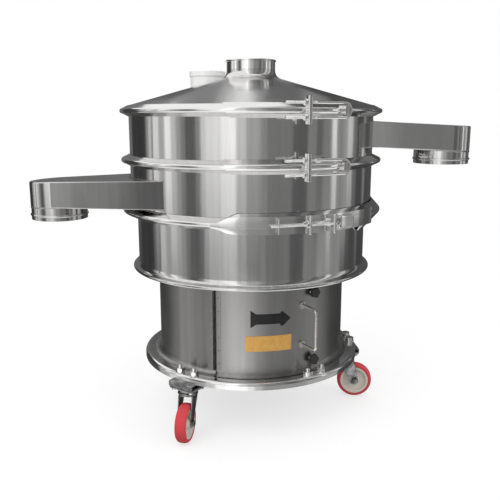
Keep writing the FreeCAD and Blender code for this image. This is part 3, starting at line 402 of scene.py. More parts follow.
def thread(diameter: float, length: float, pitch: float = 0.00125, sides: int = 14) -> Skin:
    """A screw up Z from 0: radius = crest less a triangle wave of height / pitch - angle / turn.

    Args:
        diameter: diameter over the crests.
        length: its length.
        pitch: rise of one turn.
        sides: points round it.

    Returns:
        The screw, with both ends tapered over a pitch.
    """
    z = np.linspace(0.0, length, max(8, int(length / pitch * 5)))[:, None]
    angle = np.linspace(0.0, TURN, sides, endpoint=False)[None, :]
    wave = np.abs(2 * ((z / pitch - angle / TURN) % 1.0) - 1)
    tip = np.clip(np.minimum(z, length - z) / pitch, 0.0, 1.0)
    radius = diameter / 2 - 0.6 * pitch * (wave * tip + 0.8 * (1 - tip))
    return loft(np.stack([radius * np.cos(angle), radius * np.sin(angle), np.broadcast_to(z, radius.shape)], -1))


def dome_head(diameter: float, height: float, sides: int) -> Skin:
    """A rivet or button head on Z = 0: radius = half the diameter times cos t, height times sin t.

    Args:
        diameter: diameter of its foot.
        height: its height.
        sides: points round it.

    Returns:
        The head.
    """
    t = np.linspace(0.0, 0.47 * math.pi, 5)
    foot = circle(diameter / 2, sides)
    return loft(np.array([lifted(foot * math.cos(a), height * math.sin(a)) for a in t]))


def windowed_wall(inner: float, outer: float, low: float, high: float, window: Quad) -> Skin:
    """A round wall with a window, as a lattice of azimuths and heights in which the window's cells are left out.

    Args:
        inner: inner radius.
        outer: outer radius.
        low: lower height.
        high: upper height.
        window: first and last azimuth in degrees, then lower and upper height.

    Returns:
        The closed wall, with rims at its edges and round the window.
    """
    left, right, sill, head = window
    across = max(4, round(FINE_TURN * (right - left) / 360.0))
    spans = ((left, right, across), (right, left + 360, FINE_TURN))
    azimuth = np.radians(np.concatenate([np.linspace(a, b, cells + 1)[:-1] for a, b, cells in spans]))
    height = np.array([low, sill, head, high])
    count, rows = len(azimuth), len(height)
    solid = np.ones((count, rows + 1), bool)
    solid[:, [0, -1]] = False
    solid[:across, 2] = False
    a, z = np.meshgrid(azimuth, height, indexing="ij")
    skins = [np.stack([r * np.sin(a), -r * np.cos(a), z], -1).reshape(-1, 3) for r in (outer, inner)]
    size = count * rows
    i, j = np.meshgrid(np.arange(count), np.arange(rows - 1), indexing="ij")
    e = (i + 1) % count
    cell = np.stack([i * rows + j, e * rows + j, e * rows + j + 1, i * rows + j + 1], -1)[solid[:, 1:-1]]
    i, j = np.nonzero(solid[:, :-1] != solid[:, 1:])
    level = np.stack([i * rows + j, (i + 1) % count * rows + j], 1)
    level = np.where(solid[i, j][:, None], level, level[:, ::-1])
    i, j = np.nonzero(solid[:, 1:-1] != np.roll(solid, 1, 0)[:, 1:-1])
    side = np.stack([i * rows + j, i * rows + j + 1], 1)
    side = np.where(solid[i, j + 1][:, None], side, side[:, ::-1])
    here, there = np.concatenate([level, side]).T
    rim = np.stack([here, there, there + size, here + size], 1)
    return Skin(np.concatenate(skins), np.concatenate([cell, cell[:, ::-1] + size, rim]))


# Finishes


@dataclass
class Lay:
    """Lays shader nodes in a tree, with values or links for their inputs."""

    tree: bpy.types.NodeTree

    def node(self, kind: str, inputs: dict | None = None, **settings: object) -> bpy.types.Node:
        """Adds a node.

        Args:
            kind: the node's Blender type.
            inputs: a value or an output socket for each input, by name or index.
            settings: the node's own properties.

        Returns:
            The new node.
        """
        made = self.tree.nodes.new(kind)
        for key, value in settings.items():
            setattr(made, key, value)
        for key, value in (inputs or {}).items():
            self.put(value, made.inputs[key])
        return made

    def put(self, value: object, entry: Socket) -> None:
        """Gives an input a value, or a link where the value is an output socket.

        Args:
            value: the value or output socket.
            entry: the input socket.
        """
        if isinstance(value, Socket):
            self.tree.links.new(value, entry)
        else:
            entry.default_value = value

    def math(self, operation: str, *values: object) -> Socket:
        """The result of a Math node."""
        return self.node("ShaderNodeMath", dict(enumerate(values)), operation=operation).outputs[0]

    def ramp(self, factor: object, low: float, high: float) -> Socket:
        """A factor from 0 to 1 mapped onto a range."""
        return self.node("ShaderNodeMapRange", {"Value": factor, "To Min": low, "To Max": high}).outputs[0]

    def weighed(self, one: object, share: float, other: object, rest: float) -> Socket:
        """The sum of two values, each times its share."""
        return self.math("ADD", self.math("MULTIPLY", one, share), self.math("MULTIPLY", other, rest))

    def group(self, key: str, inputs: dict) -> bpy.types.bpy_prop_collection:
        """The outputs of a shared group that is placed in this tree."""
        return self.node("ShaderNodeGroup", inputs, node_tree=GROUPS[key]).outputs


def new_group(name: str, ins: dict[str, object], outs: tuple[str, ...]) -> tuple[Lay, dict, dict]:
    """Starts a shader group.

    Args:
        name: the group's name.
        ins: each input's default, None for a vector.
        outs: names of the outputs; one that starts with Vector is a vector.

    Returns:
        A layer for the group, its input sockets and its output sockets by name.
    """
    group = bpy.data.node_groups.new(name, "ShaderNodeTree")
    for key, value in ins.items():
        kind = "NodeSocketFloat" if isinstance(value, float) else "NodeSocketVector"
        socket = group.interface.new_socket(key, in_out="INPUT", socket_type=kind)
        if value is not None:
            socket.default_value = value
    for key in outs:
        kind = "NodeSocketVector" if key.startswith("Vector") else "NodeSocketFloat"
        group.interface.new_socket(key, in_out="OUTPUT", socket_type=kind)
    lay = Lay(group)
    entry, result = lay.node("NodeGroupInput"), lay.node("NodeGroupOutput")
    return lay, entry.outputs, result.inputs


def round_coordinates() -> bpy.types.NodeTree:
    """Group: a point as arc length round the machine's axis, radius and height, times a stretch.

    Returns:
        The group.
    """
    lay, given, out = new_group("Round Coordinates", {"Vector": None, "Stretch": (1.0, 1.0, 1.0)}, ("Vector",))
    part = lay.node("ShaderNodeSeparateXYZ", {0: given["Vector"]}).outputs
    azimuth = lay.math("ARCTAN2", part["X"], lay.math("MULTIPLY", part["Y"], -1.0))
    squares = [lay.math("POWER", part[axis], 2.0) for axis in ("X", "Y")]
    radius = lay.math("SQRT", lay.math("ADD", *squares))
    arc = lay.math("MULTIPLY", azimuth, GRAIN_RADIUS)
    spot = lay.node("ShaderNodeCombineXYZ", {0: arc, 1: radius, 2: part["Z"]}).outputs[0]
    stretched = lay.node("ShaderNodeVectorMath", {0: spot, 1: given["Stretch"]}, operation="MULTIPLY").outputs[0]
    lay.put(stretched, out["Vector"])
    return lay.tree


def brushed_grain() -> bpy.types.NodeTree:
    """Group: broad streaks, fine lines and the height of both, from stretched coordinates.

    Returns:
        The group.
    """
    ins = {"Vector": None, "Streak Width": 0.02, "Line Width": 0.002}
    lay, given, out = new_group("Brushed Grain", ins, ("Streak", "Line", "Height"))
    made = {}
    for key, detail in (("Streak", 3.0), ("Line", 2.0)):
        scale = lay.math("DIVIDE", 1.0, given[f"{key} Width"])
        noise = lay.node("ShaderNodeTexNoise", {"Vector": given["Vector"], "Scale": scale, "Detail": detail})
        made[key] = noise.outputs[0]
        lay.put(made[key], out[key])
    lay.put(lay.weighed(made["Streak"], 0.6, made["Line"], 0.4), out["Height"])
    return lay.tree


def handling_marks() -> bpy.types.NodeTree:
    """Group: soft smears and a few thin scratches, as a mask from 0 to 1.

    Returns:
        The group.
    """
    lay, given, out = new_group("Handling Marks", {"Vector": None, "Size": 0.12}, ("Smear", "Scratch"))
    at = {"Vector": given["Vector"], "Scale": lay.math("DIVIDE", 1.0, given["Size"])}
    smear = lay.node("ShaderNodeTexNoise", {**at, "Detail": 4.0, "Distortion": 0.8}).outputs[0]
    lay.put(lay.ramp(smear, -0.5, 1.5), out["Smear"])
    cells = lay.node("ShaderNodeTexVoronoi", at, feature="DISTANCE_TO_EDGE").outputs[0]
    thin = {"Value": cells, "From Max": 0.006, "To Min": 1.0, "To Max": 0.0}
    line = lay.node("ShaderNodeMapRange", thin).outputs[0]
    where = lay.node("ShaderNodeMapRange", {"Value": smear, "From Min": 0.55, "From Max": 0.65}).outputs[0]
    lay.put(lay.math("MULTIPLY", line, where), out["Scratch"])
    return lay.tree


GROUPS = {"round": round_coordinates(), "grain": brushed_grain(), "marks": handling_marks()}


class Grain(Enum):
    """Which way the lines of a finish run, as a stretch of arc, radius and height."""

    UPRIGHT = (1.0, 0.05, 0.02)
    ROUND = (0.02, 1.0, 1.0)
    EVEN = (1.0, 1.0, 1.0)


@dataclass(frozen=True)
class Dressing:
    """A material that is laid at its first use.

    Attributes:
        name: the material's name.
    """

    name: str

    def material(self) -> bpy.types.Material:
        """Finds the material or makes it.

        Returns:
            The material, with its nodes laid.
        """
        made = bpy.data.materials.get(self.name)
        if made is None:
            made = bpy.data.materials.new(self.name)
            made.use_nodes = True
            lay = Lay(made.node_tree)
            for key, value in self.look(lay).items():
                lay.put(value, made.node_tree.nodes["Principled BSDF"].inputs[key])
        return made

    def look(self, lay: Lay) -> dict[str, object]:
        """Lays the nodes and gives a value or an output socket for each input of the shader that they feed."""
        raise NotImplementedError


@dataclass(frozen=True)
class Finish(Dressing):
    """A surface finish with broad streaks, fine lines, smears and scratches.

    Attributes:
        light: colour between the streaks, linear.
        dark: colour in the streaks, linear.
        metallic: 1 for bare metal, 0 for paint, rubber and plastic.
        smooth: roughness at its least.
        rough: roughness at its most.
        grain: which way the lines run.
        streak: width of the broad streaks in metres.
        line: width of the fine lines in metres.
        relief: height of the lines in metres.
        wave: height of the sheet's slow waves in metres.
        coat: strength of a clear coat.
    """

    light: Triple
    dark: Triple
    metallic: float = 1.0
    smooth: float = 0.1
    rough: float = 0.3
    grain: Grain = Grain.EVEN
    streak: float = 0.02
    line: float = 0.002
    relief: float = 0.00002
    wave: float = 0.0
    coat: float = 0.0

    def look(self, lay: Lay) -> dict[str, object]:
        """Lays the streaks, lines and marks and feeds them to colour, roughness and bump.

        Args:
            lay: layer of the material's nodes.

        Returns:
            The shader's inputs.
        """
        spot = lay.node("ShaderNodeTexCoord").outputs["Object"]
        bent = lay.group("round", {"Vector": spot, "Stretch": self.grain.value})["Vector"]
        grain = lay.group("grain", {"Vector": bent, "Streak Width": self.streak, "Line Width": self.line})
        marks = lay.group("marks", {"Vector": spot})
        tone = lay.weighed(grain["Streak"], 0.7, grain["Line"], 0.3)
        tone = lay.node("ShaderNodeMapRange", {"Value": tone, "From Min": 0.35, "From Max": 0.65}).outputs[0]
        tint = {0: tone, 6: (*self.dark, 1.0), 7: (*self.light, 1.0)}
        colour = lay.node("ShaderNodeMix", tint, data_type="RGBA").outputs[2]
        wear = lay.weighed(grain["Line"], 0.5, marks["Smear"], 0.5)
        wear = lay.math("ADD", wear, lay.math("MULTIPLY", marks["Scratch"], 0.3))
        rough = lay.ramp(wear, self.smooth, self.rough)
        bump = lay.node("ShaderNodeBump", {"Height": grain["Height"], "Distance": self.relief})
        if self.wave:
            slow = lay.node("ShaderNodeTexNoise", {"Vector": spot, "Scale": 5.0, "Detail": 1.0}).outputs[0]
            bump = lay.node("ShaderNodeBump", {"Height": slow, "Distance": self.wave, "Normal": bump.outputs[0]})
        return {"Metallic": self.metallic, "Coat Weight": self.coat, "Base Color": colour, "Roughness": rough,
                "Normal": bump.outputs[0]}


DOORING = Finish("door_sheet", (0.46, 0.455, 0.45), (0.38, 0.375, 0.37), smooth=0.26, rough=0.4,
                 grain=Grain.UPRIGHT, streak=0.03, line=0.0012, relief=0.00001, wave=0.0008)
DRUMMING = Finish("drum_sheet", (0.42, 0.415, 0.41), (0.33, 0.325, 0.32), smooth=0.26, rough=0.4,
                  grain=Grain.UPRIGHT, streak=0.025, line=0.0012, relief=0.00001, wave=0.001)
POLISHED = Finish("polished_sheet", (0.74, 0.735, 0.73), (0.64, 0.635, 0.63), smooth=0.06, rough=0.15,
                  grain=Grain.UPRIGHT, streak=0.015, line=0.0015, relief=0.000006, wave=0.001)
TURNED = Finish("turned_rings", (0.88, 0.875, 0.87), (0.76, 0.755, 0.75), smooth=0.07, rough=0.17,
                grain=Grain.ROUND, streak=0.006, line=0.001, relief=0.000008)
LIDDING = Finish("lid_sheet", (0.8, 0.795, 0.79), (0.74, 0.735, 0.73), smooth=0.1, rough=0.2, grain=Grain.ROUND,
                 streak=0.01, line=0.0015, relief=0.000006, wave=0.0005)
SATIN = Finish("satin_sheet", (0.46, 0.455, 0.45), (0.34, 0.335, 0.33), smooth=0.25, rough=0.42,
               grain=Grain.UPRIGHT, line=0.0012, wave=0.001)
# Near-black steel for the hinge barrels: painted shade.
SHADED_PIVOT = Finish("shaded_pivots", (0.1, 0.1, 0.1), (0.05, 0.05, 0.05), smooth=0.3, rough=0.5)
BOLT = Finish("bright_bolts", (0.74, 0.73, 0.72), (0.58, 0.57, 0.56), smooth=0.14, rough=0.34, line=0.001)
PLATED = Finish("plated_bolts", (0.97, 0.97, 0.96), (0.88, 0.88, 0.87), smooth=0.08, rough=0.2, line=0.001)
# Near-white, barely metallic finish for the sight port: painted glare.
GLARE_WHITE = Finish("glare_white_sheet", (0.97, 0.97, 0.965), (0.93, 0.93, 0.925), metallic=0.1, smooth=0.3, rough=0.45)
# A brighter copy of the polished sheet, near white, for the inlet pipe: painted highlight.
HIGHLIT_SPOUT = Finish("highlit_spout", (0.96, 0.955, 0.95), (0.88, 0.875, 0.87), smooth=0.05, rough=0.12,
                  grain=Grain.UPRIGHT, streak=0.01, line=0.0015, relief=0.000006)
WELD = Finish("weld_beads", (0.62, 0.6, 0.57), (0.36, 0.34, 0.32), smooth=0.2, rough=0.45, streak=0.01)
ZINC = Finish("zinc_plate", (0.56, 0.57, 0.56), (0.3, 0.31, 0.31), smooth=0.28, rough=0.55, streak=0.015,
              line=0.003)
# A darker copy of the zinc finish with near-black streaks: painted shade on the caster pads, forks and axle bolts.
SHADED_ZINC = Finish("shaded_zinc", (0.5, 0.51, 0.5), (0.08, 0.08, 0.08), smooth=0.25, rough=0.5,
              line=0.004)
SPRING = Finish("spring_wire", (0.36, 0.36, 0.37), (0.22, 0.22, 0.23), smooth=0.25, rough=0.5)
TREAD = Finish("red_tread", (0.47, 0.013, 0.027), (0.11, 0.002, 0.010), metallic=0.0, smooth=0.2, rough=0.45,
               streak=0.012, line=0.004, relief=0.0006, coat=0.6)
HUB = Finish("cream_hub", (0.95, 0.88, 0.83), (0.84, 0.74, 0.68), metallic=0.0, smooth=0.3, rough=0.55,
             streak=0.015)
PLASTIC = Finish("black_plastic", (0.02, 0.02, 0.021), (0.012, 0.012, 0.013), metallic=0.0, smooth=0.3,
                 rough=0.5, line=0.0008, relief=0.00008)
RUBBER = Finish("black_rubber", (0.03, 0.03, 0.031), (0.017, 0.017, 0.018), metallic=0.0, smooth=0.6,
                rough=0.85)
ENAMEL = Finish("motor_enamel", (0.12, 0.17, 0.22), (0.08, 0.12, 0.16), metallic=0.0, smooth=0.35, rough=0.6,
                streak=0.03, relief=0.0001)
GOLD = Finish("gold_plate", (0.82, 0.47, 0.13), (0.68, 0.36, 0.09), metallic=0.35, smooth=0.3, rough=0.45)
SIGN = Finish("black_sign", (0.012, 0.012, 0.013), (0.007, 0.007, 0.008), metallic=0.0, smooth=0.35, rough=0.55)


@dataclass(frozen=True)
class WovenWire(Dressing):
    """Woven wire cloth: two sets of wires crossing at right angles, open between them.

    Attributes:
        pitch: distance between wires in metres.
    """

    name: str = "woven_wire"
    pitch: float = 0.0024

    def look(self, lay: Lay) -> dict[str, object]:
        """Lays the wires: height = the greater of sin(2 pi x / pitch) and sin(2 pi y / pitch).

        Args:
            lay: layer of the material's nodes.

        Returns:
            The shader's inputs.
        """
        spot = lay.node("ShaderNodeSeparateXYZ", {0: lay.node("ShaderNodeTexCoord").outputs["Object"]}).outputs
        waves = [lay.math("SINE", lay.math("MULTIPLY", spot[axis], TURN / self.pitch)) for axis in ("X", "Y")]
        height = lay.math("MAXIMUM", *waves)
        solid = lay.node("ShaderNodeMapRange", {"Value": height, "From Min": 0.1, "From Max": 0.3}).outputs[0]
        bump = lay.node("ShaderNodeBump", {"Height": height, "Distance": 0.0003}).outputs[0]
        return {"Metallic": 1.0, "Base Color": (0.6, 0.59, 0.57, 1.0), "Alpha": solid,
                "Roughness": lay.ramp(height, 0.5, 0.25), "Normal": bump}


CLOTH = WovenWire()


def piece(name: str, body: str | None, slot: str, finish: Dressing, *skins: Skin, replaces: str = "",
          sharp: float = 35.0, sheet: float = 0.0) -> bpy.types.Object:
    """Makes one visible piece.

    Args:
        name: the piece's name.
        body: the body that it rides on, or None for a piece on no body.
        slot: name of the material slot of its finish; not used.
        finish: its surface finish.
        skins: the surfaces that make it.
        replaces: the CAD node that it stands for, alone or with other pieces.
        sharp: angle in degrees above which an edge stays sharp.
        sheet: thickness that is given to it inwards, or 0 for a closed surface.

    Returns:
        The new object, at the origin and in the frame's metres.
    """
    whole = joined(*skins)
    counts = (whole.faces >= 0).sum(1)
    mesh = bpy.data.meshes.new(name)
    mesh.vertices.add(len(whole.points))
    mesh.vertices.foreach_set("co", whole.points.astype(np.float32).ravel())
    mesh.loops.add(int(counts.sum()))
    mesh.loops.foreach_set("vertex_index", whole.faces[whole.faces >= 0].astype(np.int32))
    mesh.polygons.add(len(counts))
    mesh.polygons.foreach_set("loop_start", np.concatenate([[0], np.cumsum(counts)[:-1]]).astype(np.int32))
    mesh.update(calc_edges=True)
    work = bmesh.new()
    work.from_mesh(mesh)
    bmesh.ops.remove_doubles(work, verts=work.verts, dist=MERGING)
    work.to_mesh(mesh)
    work.free()
    mesh.validate()
    mesh.shade_smooth()
    mesh.set_sharp_from_angle(angle=math.radians(sharp))
    mesh.materials.append(finish.material())
    made = bpy.data.objects.new(name, mesh)
    bpy.context.scene.collection.objects.link(made)
    if sheet:
        wall = made.modifiers.new("Sheet", "SOLIDIFY")
        wall.thickness, wall.offset = sheet, -1.0
    flats = made.modifiers.new("Flats", "WEIGHTED_NORMAL")
    flats.keep_sharp = True
    if body:
        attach(made, body)
    if replaces:
        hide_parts(replaces)
    LOG.info("%s on %s: %d faces in %s", name, body, len(counts), finish.name)
    return made


def height_of(node: str) -> Pair:
    """The lowest and highest point of a CAD node."""
    low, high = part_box(node)
    return low[2], high[2]


def middle_of(node: str) -> float:
    """The middle height of a CAD node."""
    low, high = height_of(node)
    return (low + high) / 2


def clamp_height(name: str) -> float:
    """The height of a clamped joint: the middle of its draw bolt."""
    return middle_of(f"clamp_bolt_{name}")


# Sub-assemblies


@dataclass(frozen=True)
class Clamping:
    """Sizes shared by the clamped joints: wedge flanges inside a V channel with a round nose."""

    bore: float = 0.381
    wall: float = 0.383
    flange: float = 0.403
    tip: float = 0.004
    root: float = 0.014
    gasket: float = 0.006
    gap: float = 0.0003
    sheet: float = 0.003
    nose: float = 0.410

    def leg(self, radius: float, offset: float) -> float:
        """Height above the joint of a line parallel to the flange's slope, offset outwards."""
        slope = (self.root - self.tip) / (self.flange - self.wall)
        return self.root - slope * (radius - self.wall) + offset * math.sqrt(1 + slope * slope)

    def nose_arc(self, nose: float, knee_height: float) -> Array:
        """Arc from the upper knee round the nose to the lower knee: R = (sagitta^2 + half chord^2) / (2 sagitta).

        Args:
            nose: radius at the nose.
            knee_height: height of the knees above and below the joint.

        Returns:
            Its points as radius and height.
        """
        sagitta = nose - self.flange
        radius = (sagitta**2 + knee_height**2) / (2 * sagitta)
        end = math.degrees(math.asin(min(1.0, knee_height / radius)))
        return arc_points(nose - radius, 0.0, radius, end, -end, 10)

    def channel(self, gap: float, sheet: float, nose: float, foot: float) -> Array:
        """Closed outline of a V channel about height 0, from its upper foot round the nose and back inside.

        Args:
            gap: clearance to the flanges.
            sheet: its thickness.
            nose: radius at the nose.
            foot: radius at which its legs end.

        Returns:
            The outline as radius and height.
        """
        out = gap + sheet
        outer = self.nose_arc(nose, self.leg(self.flange, out))
        inner = self.nose_arc(nose - sheet, self.leg(self.flange, gap))[::-1]
        high, low = [foot, self.leg(foot, out)], [foot, self.leg(foot, gap)]
        flip = np.array([1.0, -1.0])
        return np.concatenate([[high], outer, [high * flip], [low * flip], inner, [low]])


CLAMPING = Clamping()


@dataclass
class Caster:
    """A swivel caster on a box-section pad: pad, plate, raceways, fork, axle, hub and tread.

    Attributes:
        name: front_left, right or rear_left.
        azimuth: where it stands, in degrees from the front towards +X.
        turn: the azimuth that its fork faces at rest.
    """

    name: str
    azimuth: float
    turn: float
    ring: float = 0.332
    trail: float = 0.032
    wheel: float = 0.118
    tread_width: float = 0.034
    tread_thick: float = 0.011
    hub_boss: float = 0.028
    plate_long: float = 0.088
    plate_deep: float = 0.072
    plate_thick: float = 0.004
    pad_wall: float = 0.004
    riser_width: float = 0.056
    riser_deep: float = 0.044
    riser_front: float = -0.3465
    race: float = 0.058
    race_height: float = 0.012
    sheet: float = 0.0035
    axle: float = 0.012

    def build(self) -> None:
        """Builds the caster."""
        self._pad()
        self._plate()
        self._fork()
        self._wheel()

    def _stood(self, turn: float, *skins: Skin) -> list[Skin]:
        """Skins drawn about the kingpin, turned and moved to where the caster stands."""
        a = math.radians(self.azimuth)
        return [skin.turned(turn).moved(self.ring * math.sin(a), -self.ring * math.cos(a)) for skin in skins]

    def _pad(self) -> None:
        """The box section under the skirt and the riser inside it."""
        deep, wall = self.plate_deep, self.pad_wall
        low, high = height_of("caster_pads")
        box_high = height_of("base_ring")[0]
        tube = [rectangle(deep - 2 * i, box_high - low - 2 * i, 0.005 - i) for i in (0.0, wall)]
        box = frame_plate(tube[0], tube[1], -self.plate_long / 2, self.plate_long / 2)
        box = box.placed((0.0, -self.ring, (low + box_high) / 2), Facing.RIGHT)
        riser = slab(rectangle(self.riser_width, self.riser_deep, 0.003), box_high, high, 0.0006)
        riser = riser.moved(0.0, self.riser_front + self.riser_deep / 2)
        bead = respaced(rectangle(self.riser_width + 0.002, self.riser_deep + 0.002, 0.004), 120)
        bead = lifted(bead + [0.0, self.riser_front + self.riser_deep / 2], box_high)
        # The pad is coloured with near-black streaks as painted shade.
        piece(f"caster_pad_{self.name}", "base", "zinc_steel", SHADED_ZINC, box.turned(self.azimuth),
              riser.turned(self.azimuth), replaces="caster_pads")
        piece(f"pad_weld_{self.name}", "base", "zinc_steel", WELD, weld(bead, 0.0022, True).turned(self.azimuth))

    def _plate(self) -> None:
        """The top plate with its four bolts, the upper raceway and the kingpin's nut."""
        top = height_of("caster_pads")[0]
        plate = slab(rectangle(self.plate_long, self.plate_deep, 0.009), top - self.plate_thick, top, 0.0008)
        low = top - self.plate_thick
        race_low, bore = low - self.race_height, 0.004
        race = [[bore, low], [self.race / 2, low], [self.race / 2 - 0.002, race_low], [bore, race_low]]
        node_low = height_of("caster_plates")[0]
        nut = hex_head(0.024, 0.006).moved(z=node_low)
        pin = thread(0.012, low - node_low - 0.004).moved(z=node_low)
        skins = [plate, revolve(rounded(race, 0.002), steps=COARSE_TURN), nut, pin]
        head = joined(washer(0.016, 0.006, 0.0015), hex_head(0.013, 0.0055).moved(z=0.0015))
        x, y = self.plate_long / 2 - 0.012, self.plate_deep / 2 - 0.011
        heads = [head.placed((sx * x, sy * y, low), Facing.DOWN) for sx in (-1, 1) for sy in (-1, 1)]
        piece(f"caster_plate_{self.name}", "base", "zinc_steel", ZINC, *self._stood(self.azimuth, *skins),
              replaces="caster_plates")
        piece(f"plate_bolts_{self.name}", "base", "bolt_steel", BOLT, *self._stood(self.azimuth, *heads))

    def _fork(self) -> None:
        """The turning cup, the pressed crown, two legs and the axle bolt."""
        node, body = f"caster_fork_{self.name}", f"fork_{self.name}"
        crown_top = height_of(node)[1]
        crown_low = crown_top - self.race_height / 2 - self.sheet
        bore, wide = 0.0075, self.race / 2 + 0.002
        cup = [[bore, crown_top], [self.race / 2, crown_top], [wide, crown_top - 0.002],
               [wide, crown_low + self.sheet], [bore, crown_low + self.sheet]]
        inside = self.tread_width / 2 + 0.002
        outside = inside + self.sheet
        crown = slab(rectangle(2 * outside, self.race - 0.002, 0.006), crown_low, crown_low + self.sheet, 0.001)
        crown = crown.moved(0.0, 0.001)
        face = slab(self._leg(crown_low), 0.0, self.sheet, 0.0009)
        legs = [face.placed((start, 0, 0), Facing.RIGHT) for start in (-outside, inside)]
        skins = self._stood(self.turn, revolve(rounded(cup, 0.0015), steps=COARSE_TURN), crown, *legs)
        # The fork is coloured with near-black streaks as painted shade.
        piece(f"fork_{self.name}", body, "zinc_steel", SHADED_ZINC, *skins, replaces=node)
        ends = [(x, -self.trail, self.wheel / 2) for x in (-outside, outside)]
        head = joined(washer(0.022, self.axle, 0.0015), hex_head(0.019, 0.0055).moved(z=0.0015))
        heads = [head.placed(end, facing) for end, facing in zip(ends, (Facing.LEFT, Facing.RIGHT))]
        rod = sweep(np.linspace(*ends, 3), self.axle / 2, (0, 0, 1))
        # The axle bolt is coloured with near-black streaks as painted shade.
        piece(f"axle_bolt_{self.name}", body, "bolt_steel", SHADED_ZINC, *self._stood(self.turn, rod, *heads))

    def _leg(self, crown_low: float) -> Array:
        """A leg in the plane of the wheel: a broad top that narrows to a round end about the axle.

        Args:
            crown_low: height of the crown's lower face.

        Returns:
            Its outline.
        """
        axle, boss = self.wheel / 2, self.hub_boss / 2
        end = arc_points(-self.trail, axle, boss, 170.0, 370.0, 14)
        top = np.array([[self.race / 2, crown_low - 0.008], [self.race / 2, crown_low + self.sheet],
                        [-self.race / 2 + 0.002, crown_low + self.sheet]])
        return respaced(rounded(np.concatenate([end, top]), 0.004, 2), 90)

    def _wheel(self) -> None:
        """The red tread and the cream hub, turned about the axle."""
        outer, half = self.wheel / 2, self.tread_width / 2
        rim = outer - self.tread_thick
        crown = np.linspace(-1.0, 1.0, 13)
        cover = np.stack([outer - 0.006 * np.abs(crown) ** 4, crown * half], 1)
        tread = np.concatenate([[[rim, -half]], cover, [[rim, half]]])
        edge = half - 0.0015
        web, boss, bore = 0.005, half + 0.001, self.axle / 2 + 0.0001
        inner = rim - 0.008
        hub = [[bore, -boss], [0.013, -boss], [0.017, -web], [inner - 0.003, -web], [inner, -edge], [rim, -edge]]
        hub = rounded(np.array(hub + [[r, -z] for r, z in reversed(hub)]), 0.0015, 2)
        for kind, outline, finish, slot in (("tread", tread, TREAD, "red_tread"), ("hub", hub, HUB, "cream_hub")):
            skin = revolve(outline, steps=72).placed((0, -self.trail, outer), Facing.RIGHT)
            piece(f"wheel_{kind}_{self.name}", f"wheel_{self.name}", slot, finish, *self._stood(self.turn, skin),
                  replaces=f"caster_{kind}_{self.name}")


@dataclass
class Base:
    """The base ring with its skirt, the drum with its door opening, and the spring ring.

    Attributes:
        cove: radius of the hollow at the drum's foot, then its first and last azimuth.
        bolt_rows: middle azimuth of each pair of studs on the ring.
        studded: last azimuth at which a stud stands out of its nut.
    """

    ring: float = 0.3535
    hole: float = 0.270
    sheet: float = 0.003
    bend: float = 0.010
    drum: float = 0.302
    drum_sheet: float = 0.0025
    spring_in: float = 0.288
    spring_out: float = 0.346
    opening: Pair = (-16.0, 33.0)
    bolt_ring: float = 0.338
    cove: Triple = (0.018, 36.0, 340.0)
    bolt_rows: tuple[float, ...] = (-34.5, 34.5, 96.0, 205.0)
    studded: float = 90.0

    def build(self) -> None:
        """Builds the base."""
        low, top = height_of("base_ring")
        edge, sheet, bend = self.ring, self.sheet, self.bend
        inner, outer = (arc_points(edge - bend, top - bend, r, 0.0, 90.0, 10) for r in (bend - sheet, bend))
        outline = [[self.hole, top - sheet], *inner[::-1], [edge - sheet, low],
                   [edge, low], *outer, [self.hole, top]]
        piece("base_ring_sheet", "base", "satin_steel", TURNED, revolve(outline), replaces="base_ring")
        self._ring_bolts()
        drum_low, drum_top = height_of("base_drum")
        sill, head = height_of("door_panel")[0] + 0.017, height_of("door_panel")[1] - 0.017
        window = (*self.opening, sill, head)
        wall = windowed_wall(self.drum - self.drum_sheet, self.drum, drum_low, drum_top, window)
        piece("drum_wall", "base", "satin_steel", DRUMMING, wall, replaces="base_drum")
        self._cove()
        bead = weld(ring_path(self.drum + 0.0008, drum_top - 0.0008, 900), 0.002, True)
        piece("drum_weld", "base", "satin_steel", WELD, bead)
        outline = rounded(section(self.spring_in, self.spring_out, *height_of("spring_ring")), 0.001, 2)
        piece("spring_ring_plate", "base", "satin_steel", TURNED, revolve(outline), replaces="spring_ring")

    def _cove(self) -> None:
        """The hollow sweep between the drum and the ring, everywhere but under the door."""
        top, (radius, start, end) = height_of("base_ring")[1], self.cove
        edge, back, under = self.drum + radius, self.drum - 0.001, top - 0.001
        hollow = arc_points(edge, top + radius, radius, 180.0, 270.0, 13) + 0.0004
        outline = np.array([*hollow, [edge, under], [back, under], [back, top + radius]])
        piece("drum_cove", "base", "satin_steel", DRUMMING, revolve(outline[::-1], start, end - start))

    def _ring_bolts(self) -> None:
        """Pairs of studs with hex nuts through the ring, over the casters and beside the door."""
        nut = joined(washer(0.030, 0.014, 0.002, 36), hex_head(0.025, 0.012).moved(z=0.002))
        stud = joined(nut, thread(0.014, 0.013, 0.0018, 18).moved(z=0.011))
        top = height_of("base_ring")[1]
        spots = [row + step for row in self.bolt_rows for step in (-4.5, 4.5)]
        bolts = [(nut if a > self.studded else stud).moved(0.0, -self.bolt_ring, top).turned(a) for a in spots]
        piece("ring_bolts", "base", "bolt_steel", PLATED, *bolts)


